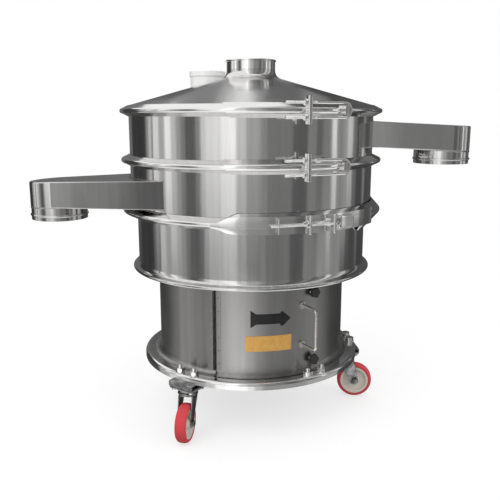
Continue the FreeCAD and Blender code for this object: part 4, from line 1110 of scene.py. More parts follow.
@dataclass
class Door:
    """The access door: panel, gasket, piano hinge, bow handle, hand knobs, arrow sign and bare plate."""

    left: float = -19.6
    right: float = 40.5
    inner: float = 0.3043
    sheet: float = 0.002
    corner: float = 0.014
    drum: float = 0.302
    opening: Pair = (-16.0, 33.0)
    hinge_radius: float = 0.3118
    hinge_azimuth: float = -20.3
    barrel: float = 0.007
    knuckles: int = 9
    handle_azimuth: float = 29.6
    handle_rod: float = 0.010
    handle_reach: float = 0.072
    handle_span: float = 0.121
    knob_azimuth: float = 36.2
    knob_radius: float = 0.017
    knob_thick: float = 0.014
    gasket_inset: float = 0.0155
    hinge_inset: float = 0.008
    handle_low: float = 0.080
    sign_height: float = 0.3845
    plate_height: float = 0.3087
    plate_azimuth: float = 9.85

    def build(self) -> None:
        """Builds the door."""
        self._panel()
        self._gasket()
        self._hinge()
        self._handle()
        self._knobs()
        self._sign()
        self._plate()

    def _span(self, inset: float = 0.0) -> Pair:
        """The panel's lower and upper height, both moved inwards."""
        low, high = height_of("door_panel")
        return low + inset, high - inset

    def _panel(self) -> None:
        """The curved sheet, with rounded corners on the opening side."""
        low, high = self._span()
        middle = (self.left + self.right) / 2
        w = math.radians(self.right - self.left) * self.inner / 2
        r = self.corner
        corners = [*arc_points(w - r, low + r, r, -90.0, 0.0, 9), *arc_points(w - r, high - r, r, 0.0, 90.0, 9)]
        outline = np.array([[-w, high], [-w, low], *corners])
        plate = slab(respaced(outline, 260), 0.0, self.sheet, 0.0006, 30)
        piece("door_sheet", "door", "satin_steel", DOORING, upright(plate).wrapped(self.inner).turned(middle),
              replaces="door_panel", sharp=50.0)

    def _gasket(self) -> None:
        """The rubber strip round the opening, behind the panel's edge."""
        low, high = self._span(self.gasket_inset)
        left, right = (math.radians(a) * self.drum for a in self.opening)
        inner = rectangle(right - left, high - low, 0.004, 6)
        outer = rectangle(right - left + 0.018, high - low + 0.018, 0.006, 6)
        strip = frame_plate(respaced(outer, 300), respaced(inner, 300), 0.0003, 0.0021).moved(y=(low + high) / 2)
        azimuth = sum(self.opening) / 2 + 0.3
        piece("door_strip", "door", "black_rubber", RUBBER, upright(strip).wrapped(self.drum).turned(azimuth),
              replaces="door_gasket")

    def _hinge(self) -> None:
        """A piano hinge: a leaf and every other knuckle on each body, round one pin, with domed screws."""
        low, high = self._span(self.hinge_inset)
        a = math.radians(self.hinge_azimuth)
        x, y = self.hinge_radius * math.sin(a), -self.hinge_radius * math.cos(a)
        step = (high - low) / self.knuckles
        bore, gap = 0.0018, 0.0003
        tube = rounded(section(bore, self.barrel / 2, low + gap, low + step - gap), 0.0005, 2)
        rows = [revolve(tube, steps=28).moved(x, y, i * step) for i in range(self.knuckles)]
        pin = revolve(section(0.0004, bore - 0.0001, low, high), steps=24)
        sides = (("fixed", "base", "hinge_fixed_leaf", -1.0, self.drum + 0.0003, 0),
                 ("door", "door", "door_hinge_leaf", 1.0, self.inner + self.sheet, 1))
        for kind, body, node, side, radius, first in sides:
            leaf = slab(respaced(rectangle(0.0165, high - low, 0.0008), 160), 0.0, 0.0015, 0.0004, 3)
            leaf = upright(leaf.moved(y=(low + high) / 2))
            middle = self.hinge_azimuth + side * math.degrees(0.0108 / radius)
            web = slab(rectangle(0.0015, high - low, 0.0004), 0.0, self.hinge_radius - radius, 0.0003)
            web = upright(web.moved(y=(low + high) / 2))
            root = self.hinge_azimuth + side * math.degrees(0.0036 / radius)
            barrel = [web.wrapped(radius).turned(root), *rows[first::2]]
            if body == "base":
                barrel.append(pin.moved(x, y))
            leaf = leaf.wrapped(radius).turned(middle)
            piece(f"hinge_leaf_{kind}", body, "satin_steel", DRUMMING, leaf, replaces=node)
            # The barrels are coloured near black as painted shade.
            piece(f"hinge_barrel_{kind}", body, "satin_steel", SHADED_PIVOT, *barrel, replaces=node)
            head = dome_head(0.0075, 0.0014, 18).placed((0, -(radius + 0.0013), 0), Facing.FRONT)
            heights = np.linspace(low + 0.02, high - 0.02, 6)
            screws = [head.moved(z=height).turned(middle + side * 0.5) for height in heights]
            piece(f"hinge_screws_{kind}", body, "bolt_steel", DRUMMING, *screws)

    def _handle(self) -> None:
        """The bow handle: a bent rod on two round feet."""
        face, low = self.inner + self.sheet, self._span(self.handle_low)[0]
        high, bend = low + self.handle_span, 0.016
        near, far = -(face + 0.01), -(face + self.handle_reach - bend)
        path = [[-face, low], [near, low], *arc_points(far, low + bend, bend, 270.0, 180.0, 9),
                *arc_points(far, high - bend, bend, 180.0, 90.0, 9), [near, high], [-face, high]]
        bow = sweep(np.insert(path, 0, 0.0, 1), self.handle_rod / 2, (1, 0, 0), 18)
        foot = slab(circle(0.011, 32), 0.0, 0.003, 0.0008)
        bead = weld(ring_path(self.handle_rod / 2 + 0.0008, 0.0035, 60), 0.0014, True, 0.003)
        feet = [skin.placed((0, -face, z), Facing.FRONT) for z in (low, high) for skin in (foot, bead)]
        handle = joined(bow, *feet).turned(self.handle_azimuth)
        piece("pull_handle", "door", "polished_steel", BOLT, handle, replaces="door_handle")

    def _knobs(self) -> None:
        """Two five-lobed hand knobs, R (1 + 0.09 cos 5a), drawn in at both rims, on bright necks."""
        angle = np.linspace(0.0, TURN, 90, endpoint=False)
        neck, thick = 0.008, self.knob_thick
        levels = [(0.35, 0.0), (0.80, 0.0004), (0.93, 0.0018), (1.0, 0.005), (1.0, thick - 0.005),
                  (0.94, thick - 0.002), (0.82, thick - 0.0005), (0.4, thick), (0.3, thick + 0.0004),
                  (0.12, thick + 0.0006)]
        rings = []
        for share, up in levels:
            lobes = 1 + 0.09 * min(1.0, share * 1.2) * np.cos(5 * angle)
            radius = self.knob_radius / 1.09 * share * (lobes if share > 0.5 else np.ones(90))
            rings.append(lifted(circle(1.0, 90) * radius[:, None], neck + up))
        collar = [[CORE, 0.0003], [0.008, 0.0003], [0.0065, neck + 0.002], [CORE, neck + 0.002]]
        skins = (loft(np.array(rings)), revolve(rounded(collar, 0.001, 2), steps=36))
        for name in ("low", "high"):
            spot = (0, -(self.inner + self.sheet), middle_of(f"door_knob_{name}"))
            grip, collar = (skin.placed(spot, Facing.FRONT).turned(self.knob_azimuth) for skin in skins)
            piece(f"knob_grip_{name}", f"knob_{name}", "black_plastic", PLASTIC, grip,
                  replaces=f"door_knob_{name}")
            piece(f"knob_neck_{name}", f"knob_{name}", "bolt_steel", BOLT, collar)

    def _sign(self) -> None:
        """The arrow: half height h over the length, a flared tail, a straight body and a pointed head."""
        start, end = math.radians(-0.3) * self.inner, math.radians(22.4) * self.inner
        length = end - start
        share = [0.0, 0.005, 0.14, 0.73, 0.74, 0.80, 1.0]
        half = [0.026, 0.026, 0.0155, 0.0155, 0.0215, 0.0215, 0.0005]
        rise = np.linspace(0.0, -0.002, 7)
        x = np.unique(np.concatenate([np.linspace(0.0, 1.0, 60), share]))
        h, mid = np.interp(x, share, half), self.sign_height + np.interp(x, share, rise)
        points = [np.column_stack([start + x * length, np.full(len(x), depth), mid + side * h])
                  for side, depth in ((-1.0, 0.0003), (-1.0, 0.0006), (1.0, 0.0006), (1.0, 0.0003))]
        arrow = loft(np.stack(points, 1)).wrapped(self.inner + self.sheet)
        piece("arrow_sign", "door", "black_sign", SIGN, arrow, sharp=60.0)

    def _plate(self) -> None:
        """The bare plate with a fine raised border and a rivet in each corner."""
        width, height = math.radians(26.2) * self.inner, 0.0475
        face = self.inner + self.sheet
        outline = respaced(rectangle(width, height, 0.0015), 200)
        plate = slab(outline, 0.0, 0.0008, 0.0002, 16)
        rim = frame_plate(respaced(rectangle(width - 0.004, height - 0.004, 0.001), 200),
                          respaced(rectangle(width - 0.0055, height - 0.0055, 0.001), 200), 0.0007, 0.0011)
        x, y = width / 2 - 0.0055, height / 2 - 0.0055
        rivets = [dome_head(0.0032, 0.0009, 14).moved(sx * x, sy * y, 0.0008) for sx in (-1, 1) for sy in (-1, 1)]
        flat = [upright(skin.moved(y=self.plate_height)) for skin in (plate, rim, *rivets)]
        skins = [skin.wrapped(face).turned(self.plate_azimuth) for skin in flat]
        piece("bare_plate", "door", "brass_plate", GOLD, *skins, sharp=50.0)


@dataclass
class Springs:
    """Eight coil springs between the spring ring and the base plate, and the seats that they stand in."""

    count: int = 8
    ring: float = 0.324
    coil: float = 0.032
    wire: float = 0.006
    turns: float = 4.5

    def build(self) -> None:
        """Builds the springs as one piece on no body, and their seats."""
        low, high = height_of("spring_ring")[1], height_of("pan_base_plate")[0]
        t = np.linspace(0.0, 1.0, 200)
        angle, radius = TURN * self.turns * t, (self.coil - self.wire) / 2
        rise = np.clip((t * self.turns - 0.75) / (self.turns - 1.5), 0.0, 1.0)
        height = low + self.wire / 2 + 0.0004 + (high - low - self.wire - 0.0008) * (0.06 * t + 0.94 * rise)
        path = np.stack([radius * np.cos(angle), radius * np.sin(angle), height], 1)
        coil = sweep(path, self.wire / 2, (0, 0, 1), 10).moved(0.0, -self.ring)
        spots = [22.5 + 360.0 / self.count * i for i in range(self.count)]
        made = piece("coil_springs", None, "spring_steel", SPRING, *[coil.turned(a) for a in spots],
                     replaces="support_springs")
        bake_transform(made)
        outline = rounded([[CORE, 0.0], [0.0092, 0.0], [0.0088, 0.007], [CORE, 0.007]], 0.0015, 3)
        for name, body, side, z in (("low", "base", 1.0, low), ("high", STACK, -1.0, high)):
            seat = revolve(outline * [1.0, side] + [0.0, z], steps=32).moved(0.0, -self.ring)
            piece(f"spring_seats_{name}", body, "satin_steel", SATIN, *[seat.turned(a) for a in spots])


@dataclass
class Motor:
    """The flanged vibration motor under the pan: ribbed body with its flange, and the bolts at its lower end."""

    radius: float = 0.082
    fin_height: float = 0.009
    fin: float = 0.004
    fins: int = 18
    flange: float = 0.124
    flange_thick: float = 0.014
    top: float = 0.078

    def build(self) -> None:
        """Builds the motor."""
        low, high = height_of("motor_body")
        plate = height_of("pan_base_plate")[0]
        shoulder = plate - self.flange_thick
        outline = [[CORE, low], [self.radius - 0.004, low], [self.radius, low + 0.016], [self.radius, shoulder],
                   [self.flange, shoulder], [self.flange, plate - 0.0001], [self.top, plate - 0.0001],
                   [self.top, high], [CORE, high]]
        rib = slab(rectangle(self.fin, shoulder - low - 0.018, 0.0015), 0.0, self.fin_height + 0.003, 0.0012)
        rib = rib.placed((0, -(self.radius - 0.003), (low + 0.018 + shoulder) / 2), Facing.FRONT)
        ribs = [rib.turned(360.0 / self.fins * i) for i in range(self.fins)]
        housing = revolve(rounded(outline, 0.003, 4), steps=96)
        piece("motor_housing", STACK, "motor_paint", ENAMEL, housing, *ribs, replaces="motor_body")
        head = hex_head(0.010, 0.0045).placed((0.0, -0.062, low), Facing.DOWN)
        piece("cover_bolts", STACK, "bolt_steel", BOLT, *[head.turned(90.0 * i + 45.0) for i in range(4)])


@dataclass
class Pan:
    """The pan: wall, clamp flange, flared foot with a rolled bead, and the base plate with its bolts."""

    wall: float = 0.365
    sheet: float = 0.002
    flare: float = 0.3835
    bead: float = 0.0055
    skirt: float = 0.181
    flare_height: float = 0.020
    motor_hole: float = 0.084
    bolts: int = 8
    bolt_ring: float = 0.108

    def build(self) -> None:
        """Builds the pan."""
        top, gasket = clamp_height("lower"), CLAMPING.gasket / 2
        low = top - self.skirt
        inner, step = self.wall - self.sheet, top - gasket - 2 * self.sheet
        bead_x, bead_z = self.flare - self.bead, low - 0.003
        reach, drop = bead_x - self.wall, self.flare_height - self.bead + 0.003
        turn = np.radians(np.linspace(0.0, 90.0, 11))[1:-1]
        flare = [self.wall + reach * (1 - np.cos(turn)), bead_z + self.bead + drop * (1 - np.sin(turn))]
        bead = arc_points(bead_x, bead_z, self.bead, 90.0, -170.0, 18)
        c = CLAMPING
        collar = [[inner, top - gasket], [c.flange, top - gasket], [c.flange, top - c.tip], [c.wall, top - c.root],
                  [c.bore, top - c.root], [c.bore - self.sheet, step], [self.wall, step],
                  [self.wall, low + self.flare_height]]
        flare = np.stack(flare, 1)
        inside = flare[::-1] - [self.sheet, 0.0005]
        outline = np.concatenate([collar, flare, bead, inside, [[inner, low + self.flare_height]]])
        piece("pan_wall", STACK, "polished_steel", POLISHED, revolve(outline), replaces="pan_shell")
        plate_low, plate_high = height_of("pan_base_plate")
        outline = rounded(section(self.motor_hole, inner - 0.0003, plate_low, plate_high), 0.001, 2)
        piece("base_plate", STACK, "satin_steel", SATIN, revolve(outline), replaces="pan_base_plate")
        head = joined(washer(0.017, 0.008, 0.0015), hex_head(0.013, 0.0055).moved(z=0.0015))
        head = head.placed((0.0, -self.bolt_ring, plate_low - Motor.flange_thick), Facing.DOWN)
        spots = [360.0 / self.bolts * (i + 0.5) for i in range(self.bolts)]
        piece("motor_bolts", STACK, "bolt_steel", BOLT, *[head.turned(spot) for spot in spots])
        bead = weld(ring_path(inner - 0.001, plate_low - 0.0008, 900), 0.002, True)
        piece("base_plate_weld", STACK, "polished_steel", WELD, bead)


@dataclass
class Chute:
    """A discharge duct with a half-round end, a straight and a flared side, and its round spout.

    It is drawn for the left side, with its spout centre at (-reach, -offset), and may be turned half round.

    Attributes:
        name: lower or upper.
        reach: distance of the spout's centre from the machine's axis.
        low: height of the floor above the spout's centre.
        azimuth: degrees it is turned about the machine's axis.
    """

    name: str
    reach: float
    low: float
    azimuth: float
    half: float = 0.088
    offset: float = 0.038
    height: float = 0.081
    slope: float = math.tan(math.radians(2.9))
    flare: float = math.tan(math.radians(24.6))
    deck: float = 0.3833
    sheet: float = 0.002
    bend: float = 0.004
    spout: float = 0.087
    drop: float = 0.042

    def build(self) -> None:
        """Builds the duct, the weld where it meets the deck, and the spout."""
        duct = self._duct().moved(-self.reach, -self.offset).turned(self.azimuth)
        piece(f"chute_sheet_{self.name}", STACK, "polished_steel", POLISHED, duct,
              replaces=f"chute_{self.name}", sheet=self.sheet)
        self._mouth_weld()
        self._spout()

    def window(self) -> Quad:
        """The opening that the duct needs in the deck's wall.

        Returns:
            First and last azimuth, then lower and upper height.
        """
        across, mouth = self._outline()
        spots = across[mouth] - [self.reach, self.offset]
        azimuth = np.degrees(np.arctan2(spots[:, 0], -spots[:, 1])) + self.azimuth
        rise = (spots[:, 0] + self.reach) * self.slope
        lap = math.degrees(self.sheet / self.deck)
        return (azimuth.min() + lap, azimuth.max() - 2 * lap,
                self.low + rise.max() + self.sheet, self.low + rise.min() + self.height - self.sheet)

    def _outline(self) -> tuple[Array, Array]:
        """The duct's plan about the spout's centre.

        Along a direction (c, s) the rim is the nearest of the half-round end or the straight side
        (half / s), the flared side (half / -(s + flare c)) and the deck's circle (-b - sqrt(b^2 - q)).

        Returns:
            The points, and a mask of those on the deck.
        """
        near = self._corners()[:, None] + np.radians([-1.2, -0.6, -0.2, -0.02, 0.0, 0.02, 0.2, 0.6, 1.2])[None, :]
        angle = np.unique(np.concatenate([np.linspace(-math.pi / 2, math.pi / 2, 180), near.ravel()]))
        c, s = np.cos(angle), np.sin(angle)
        with np.errstate(divide="ignore", invalid="ignore"):
            straight = np.where(s > 1e-9, self.half / s, np.inf)
            leaning = s + self.flare * c
            flared = np.where(leaning < -1e-9, -self.half / leaning, np.inf)
        b = -self.reach * c - self.offset * s
        q = self.reach**2 + self.offset**2 - self.deck**2
        inside = b * b - q
        to_deck = np.where(inside > 0, -b - np.sqrt(np.maximum(inside, 0.0)), np.inf)
        reach = np.minimum(np.minimum(straight, flared), to_deck)
        end = np.linspace(math.pi / 2, 1.5 * math.pi, 90)[1:-1]
        mouth = np.concatenate([to_deck <= reach + 1e-9, np.zeros(len(end), bool)])
        angle = np.concatenate([angle, end])
        reach = np.concatenate([reach, np.full(len(end), self.half)])
        return reach[:, None] * np.stack([np.cos(angle), np.sin(angle)], 1), mouth

    def _corners(self) -> Array:
        """Where both sides meet the deck's circle.

        Returns:
            The angles from the spout's centre to the duct's two corners.
        """
        y = self.half - self.offset
        straight = np.array([-math.sqrt(self.deck**2 - y * y), y])
        fixed = -self.offset - self.half - self.flare * self.reach
        a, b = 1 + self.flare**2, -2 * self.flare * fixed
        x = (-b - math.sqrt(b * b - 4 * a * (fixed**2 - self.deck**2))) / (2 * a)
        flared = np.array([x, fixed - self.flare * x])
        both = np.stack([straight, flared]) + [self.reach, self.offset]
        return np.arctan2(both[:, 1], both[:, 0])

    def _duct(self) -> Skin:
        """Rings from the middle of the roof over its bent edge, down the side and in over the floor to the spout.

        Returns:
            The duct's open skin, without a face on the deck.
        """
        across, mouth = self._outline()
        length = np.linalg.norm(across, axis=1)
        ahead = across / length[:, None]
        bend = np.where(mouth & np.roll(mouth, 1) & np.roll(mouth, -1), 0.0, self.bend)
        t = np.linspace(0.0, math.pi / 2, 5)
        hole = self.spout - self.sheet
        rows = [(np.full(len(length), 0.002), self.height)]
        rows += [(length * s, self.height) for s in (0.3, 0.6, 0.85)]
        rows += [(length - bend * (1 - math.sin(a)), self.height - bend * (1 - math.cos(a))) for a in t]
        rows += [(length - bend * (1 - math.sin(a)), bend * (1 - math.cos(a))) for a in t[::-1]]
        rows += [(np.maximum(hole, hole + (length - hole) * s), 0.0) for s in (0.7, 0.35, 0.0)]
        rings = []
        for reach, up in rows:
            spot = ahead * reach[:, None]
            rings.append(lifted(spot, self.low + spot[:, 0] * self.slope + up))
        keep = np.ones((len(rings) - 1, len(length)), bool)
        keep[4:13] = ~(mouth & np.roll(mouth, -1))
        return loft(np.array(rings), caps=False, keep=keep)

    def _mouth_weld(self) -> None:
        """The bead along the roof and floor where the duct meets the deck."""
        across, mouth = self._outline()
        deck = across[mouth] - [self.reach, self.offset]
        deck = deck[np.argsort(np.arctan2(deck[:, 0], -deck[:, 1]))]
        share = np.linspace(0.0, 1.0, 400)
        fine = np.stack([np.interp(share, np.linspace(0, 1, len(deck)), deck[:, i]) for i in range(2)], 1)
        fine *= (self.deck + 0.0004) / np.linalg.norm(fine, axis=1, keepdims=True)
        rise = self.low + (fine[:, 0] + self.reach) * self.slope
        beads = [weld(lifted(fine, rise + up), 0.0016) for up in (-0.0004, self.height + 0.0004)]
        piece(f"chute_weld_{self.name}", STACK, "polished_steel", WELD,
              *[bead.turned(self.azimuth) for bead in beads])

    def _spout(self) -> None:
        """The round outlet with a bead near its mouth and a weld under the floor."""
        outer, inner, mouth = self.spout, self.spout - self.sheet, self.low - self.drop
        bead_z, half = mouth + 0.015, 0.0035
        levels = [(inner + 0.0004, mouth), (outer - 0.0004, mouth), (outer, mouth + 0.0004)]
        levels += [*arc_points(outer, bead_z, half, -90.0, 90.0, 9)]
        levels += [(outer, self.low + 1.0), (inner, self.low + 1.0), (inner, mouth + 0.0004)]
        rings = []
        for radius, z in levels:
            spot = circle(radius, 144)
            rings.append(lifted(spot, np.minimum(z, self.low + spot[:, 0] * self.slope)))
        pipe = loft(np.array(rings), closed=True).moved(-self.reach, -self.offset).turned(self.azimuth)
        piece(f"spout_pipe_{self.name}", STACK, "polished_steel", POLISHED, pipe, replaces=f"spout_{self.name}")
        path = ring_path(outer + 0.0004, 0.0, 300)
        path[:, 2] = self.low + path[:, 0] * self.slope - 0.0006
        bead = weld(path, 0.0014, True).moved(-self.reach, -self.offset).turned(self.azimuth)
        piece(f"spout_weld_{self.name}", STACK, "polished_steel", WELD, bead)


@dataclass
class Decks:
    """The two decks with their wedge flanges, chutes, screen, dome and gaskets."""

    joints: tuple[str, ...] = ("lower", "middle", "top")
    clamped: float = 0.4015

    def build(self) -> None:
        """Builds both decks and what lies between them."""
        lower = Chute("lower", 0.614, clamp_height("lower") + 0.007, 0.0)
        upper = Chute("upper", 0.622, clamp_height("middle") + 0.024, 180.0)
        for chute, low, high in ((lower, "lower", "middle"), (upper, "middle", "top")):
            chute.build()
            self._deck(chute, clamp_height(low), clamp_height(high))
        self._screen()
        self._dome()
        self._gaskets()

    def _deck(self, chute: Chute, low: float, high: float) -> None:
        """A deck's wall with its window, and a flange ring at each end.

        Args:
            chute: the outlet duct on its wall.
            low: height of the joint below.
            high: height of the joint above.
        """
        c = CLAMPING
        wall = windowed_wall(c.bore, c.wall, low + c.root, high - c.root, chute.window())
        flanges = []
        for z, side in ((low, 1.0), (high, -1.0)):
            outline = np.array([[c.bore, c.gasket / 2], [c.flange, c.gasket / 2], [c.flange, c.tip],
                                [c.wall, c.root], [c.bore, c.root]]) * [1.0, side]
            flanges.append(revolve(outline + [0.0, z]))
        piece(f"deck_wall_{chute.name}", STACK, "polished_steel", POLISHED, wall, *flanges,
              replaces=f"deck_{chute.name}")

    def _screen(self) -> None:
        """The woven cloth and the flat ring that it is stretched over."""
        z = clamp_height("middle")
        cloth = slab(circle(0.377, 160), z + 0.001, z + 0.0016, 0.0001)
        piece("screen_cloth", STACK, "screen_wire", CLOTH, cloth, replaces="screen_mesh")
        outline = rounded(section(0.356, self.clamped, z - 0.001, z + 0.001), 0.0005, 2)
        piece("screen_carrier", STACK, "polished_steel", TURNED, revolve(outline), replaces="screen_ring")

    def _dome(self) -> None:
        """The shallow dome: height = sqrt(R^2 - r^2) - (R - rise)."""
        z, foot, rise = clamp_height("lower"), CLAMPING.bore - 0.006, 0.038
        radius = (foot**2 + rise**2) / (2 * rise)
        r = np.linspace(CORE, foot, 28)
        height = np.sqrt(radius**2 - r * r) - (radius - rise)
        upper = np.column_stack([r, z + 0.001 + height])
        edge = [[self.clamped, z + 0.001], [self.clamped, z - 0.001]]
        outline = np.concatenate([upper, edge, upper[::-1] - [0.0, 0.002]])
        piece("fines_dome", STACK, "polished_steel", TURNED, revolve(outline), replaces="product_dome")

    def _gaskets(self) -> None:
        """The rubber rings that show as a thin line inside the deck."""
        c = CLAMPING
        half = c.gasket / 2
        outline = rounded(section(c.bore + 0.001, c.flange - 0.0002, -half, half), 0.0006, 2)
        rings = [revolve(outline + [0.0, clamp_height(name)]) for name in self.joints]
        piece("rubber_rings", STACK, "black_rubber", RUBBER, *rings, replaces="clamp_gaskets")


@dataclass
class Clamp:
    """A clamped joint: a V ring that is split and drawn shut.

    The middle and top ones have a saddle, a cross bar, a lug and a U-shaped draw bolt with its nuts. The lowest
    has a wide band with a strap end, two posts and a straight tee bolt.

    Attributes:
        name: lower, middle or top.
        split: azimuth of the middle of the ring's split.
        saddle: first and last azimuth of the saddle.
        left: where the draw bolt's legs end, along its own length.
        right: where its bend starts.
        bar_at: where the cross bar stands.
        bar: width, depth and height of the cross bar.
        tee_ends: where the tee bolt starts and ends, along its own length.
        tee_pin: where its cross pin stands, then the pin's diameter and height.
        posts: where the posts stand.
        post: diameter and height of a post.
        strap: azimuth, degrees across, depth and height of the strap end.
    """

    name: str
    split: float = 14.5
    split_width: float = 3.0
    saddle: Pair = (-9.6, 34.0)
    saddle_sheet: float = 0.0025
    saddle_nose: float = 0.4128
    bolt_azimuth: float = 24.5
    rod: float = 0.008
    pitch: float = 0.038
    left: float = -0.098
    right: float = 0.079
    bar_at: float = -0.029
    bar: Triple = (0.013, 0.020, 0.074)
    standoff: float = 0.012
    tee_azimuth: float = 18.0
    tee_standoff: float = 0.009
    tee_rod: float = 0.006
    tee_ends: Pair = (-0.082, 0.1187)
    tee_pin: Triple = (-0.0605, 0.005, 0.042)
    posts: Pair = (0.0304, 0.1023)
    post: Pair = (0.009, 0.052)
    strap: Quad = (39.0, 7.4, 0.012, 0.036)

    @property
    def z(self) -> float:
        """The height of the joint."""
        return clamp_height(self.name)

    def build(self) -> None:
        """Builds the clamp."""
        z, c = self.z, CLAMPING
        ring = revolve(c.channel(c.gap, c.sheet, c.nose, c.wall + 0.002) + [0.0, z],
                       self.split + self.split_width / 2, 360.0 - self.split_width)
        if self.name == "lower":
            shoe, carried = self._band(), self._strap_end()
            piece("tee_posts", STACK, "bolt_steel", PLATED, *[self._post(at) for at in self.posts])
            self._tee_bolt()
        else:
            outline = c.channel(2 * c.gap + c.sheet, self.saddle_sheet, self.saddle_nose, c.wall + 0.002)
            start, end = self.saddle
            shoe, carried = revolve(outline + [0.0, z], start, end - start, 60, -75.0), self._cross_bar()
            piece(f"lug_{self.name}", STACK, "polished_steel", TURNED, self._lug())
            self._draw_bolt()
        piece(f"v_ring_{self.name}", STACK, "polished_steel", TURNED, ring, replaces=f"clamp_ring_{self.name}")
        piece(f"saddle_{self.name}", STACK, "polished_steel", TURNED, shoe, carried,
              replaces=f"clamp_saddle_{self.name}")

    def _band(self) -> Skin:
        """The wide band: a flat face at the front that narrows to a nose where its skirt reaches down.

        Returns:
            The band, from its tapered left end to its right end.
        """
        spans = ((-15.5, -4.0, 24), (-4.0, 59.8, 70), (60.0, 98.0, 42))
        azimuth = np.unique(np.concatenate([np.linspace(*span) for span in spans]))
        grown = np.interp(azimuth, [-15.5, -4.0], [0.0, 1.0])
        grown = grown * grown * (3 - 2 * grown)
        up = 0.004 + 0.026 * grown
        down = np.where(azimuth < 0, 0.008 + 0.022 * grown, 0.030 + 0.021 * (azimuth > 59.9))
        skirted = (azimuth > 59.9).astype(float)
        nosed = np.interp(azimuth, [-15.5, -4.0, 59.8, 60.0], [0.45, 0.0, 0.0, 1.0])
        rings = []
        for a, high, low, skirt, nose in zip(np.radians(azimuth), up, down, skirted, nosed):
            outline = self._band_outline(high, low, skirt, nose) + [0.0, self.z]
            rings.append(np.stack([outline[:, 0] * math.sin(a), -outline[:, 0] * math.cos(a), outline[:, 1]], 1))
        return loft(np.array(rings))

    def _band_outline(self, up: float, down: float, skirt: float, nosed: float) -> Array:
        """A section in sheet: a leg up, a face crowned by draw (t / half)^2, and a leg down.

        Args:
            up: height at which the upper leg ends.
            down: depth at which the lower leg ends.
            skirt: 0 for the short lower leg, 1 for the skirt.
            nosed: 0 for the wide flat face, 1 for the narrow nose.

        Returns:
            The closed outline as radius and height.
        """
        nose, half, draw = self.saddle_nose, 0.024 - 0.015 * nosed, 0.0004 + 0.0046 * nosed
        legs = []
        ways = ((up, 0.024, 0.030, 1.0), (down, 0.030 + 0.012 * skirt, 0.030 + 0.021 * skirt, -1.0))
        for reach, inward, full, side in ways:
            knee = min(half, reach)
            t = np.linspace(0.0, knee, 6)
            arc = np.stack([nose - draw * (t / half) ** 2, side * t], 1)
            share = np.linspace(0.0, max(0.0, (reach - half) / (full - half)), 4)[1:]
            leg = np.stack([arc[-1, 0] - (inward - draw) * share, side * (knee + (full - half) * share)], 1)
            legs.append(np.concatenate([arc, leg]))
        outer = np.concatenate([legs[0][::-1], legs[1][1:]])
        return np.concatenate([outer, outer[::-1] - [self.saddle_sheet, 0.0]])

    def _strap_end(self) -> Skin:
        """The band's folded end beside the far post.

        Returns:
            A thick plate bent to the band.
        """
        azimuth, across, out, height = self.strap
        width = math.radians(across) * self.saddle_nose
        block = slab(respaced(rectangle(width, height, 0.005), 80), -0.001, out, 0.003, 8)
        return upright(block.moved(y=self.z)).wrapped(self.saddle_nose).turned(azimuth)

    def _post(self, at: float) -> Skin:
        """A round post that the tee bolt passes through, with a web to the band's face.

        Args:
            at: where it stands along the bolt.

        Returns:
            The post and its web.
        """
        z, (width, height) = self.z, self.post
        y = self.saddle_nose + self.tee_standoff
        outline = rounded(section(0.0003, width / 2, -height / 2, height / 2), 0.0015, 3)
        pin = revolve(outline, steps=28).moved(at, -y, z)
        seat = math.sqrt((self.saddle_nose - 0.001) ** 2 - at**2)
        web = slab(rectangle(width - 0.002, 0.022, 0.002), 0.0, y - seat, 0.0006)
        web = web.placed((at, -y, z), Facing.BACK)
        return joined(pin, web).turned(self.tee_azimuth)

    def _tee_bolt(self) -> None:
        """The straight bolt: a threaded rod with a nut outside each post and a cross pin near its left end."""
        y, z = -(self.saddle_nose + self.tee_standoff), self.z
        start, end = self.tee_ends
        shank = thread(self.tee_rod, end - start).placed((start, y, z), Facing.RIGHT)
        at, width, height = self.tee_pin
        pin = sweep(np.linspace((at, y, z - height / 2), (at, y, z + height / 2), 3), width / 2, (1, 0, 0), 16)
        head = joined(washer(0.0145, self.tee_rod, 0.0012), hex_head(0.013, 0.0052).moved(z=0.0012))
        skins = [shank, pin]
        for side, facing, post in zip((-1, 1), (Facing.LEFT, Facing.RIGHT), self.posts):
            skins.append(head.placed((post + side * (self.post[0] / 2 + 0.0002), y, z), facing))
        piece("draw_bolt_lower", STACK, "bolt_steel", PLATED, joined(*skins).turned(self.tee_azimuth),
              replaces="clamp_bolt_lower")

    def _cross_bar(self) -> Skin:
        """The bar that the bolt's legs pass through.

        Returns:
            An upright bar whose back half lies in the saddle.
        """
        z, (width, depth, height) = self.z, self.bar
        deep = depth / 2 + self.standoff
        front = -(self.saddle_nose + self.standoff) - depth / 2
        bar = slab(respaced(rectangle(width, deep, 0.0062, 8), 72), z - height / 2, z + height / 2, 0.002)
        return bar.moved(self.bar_at, front + deep / 2).turned(self.bolt_azimuth)

    def _lug(self) -> Skin:
        """The half-round block that the bolt's bend hooks round.

        Returns:
            The block, with its flat side to the left.
        """
        radius = self.pitch / 2 - self.rod / 2 - 0.0004
        bow = arc_points(0.0, 0.0, radius, -60.0, 60.0, 14)
        back = radius - 0.018
        outline = respaced(rounded(np.concatenate([bow, [[back, bow[-1, 1]], [back, bow[0, 1]]]]), 0.002, 2), 60)
        y = -(self.saddle_nose + self.standoff) - 0.010
        depth = -y - (self.saddle_nose - 0.014)
        lug = slab(outline, 0.0, depth, 0.0012)
        return lug.placed((self.right, y, self.z), Facing.BACK).turned(self.bolt_azimuth)

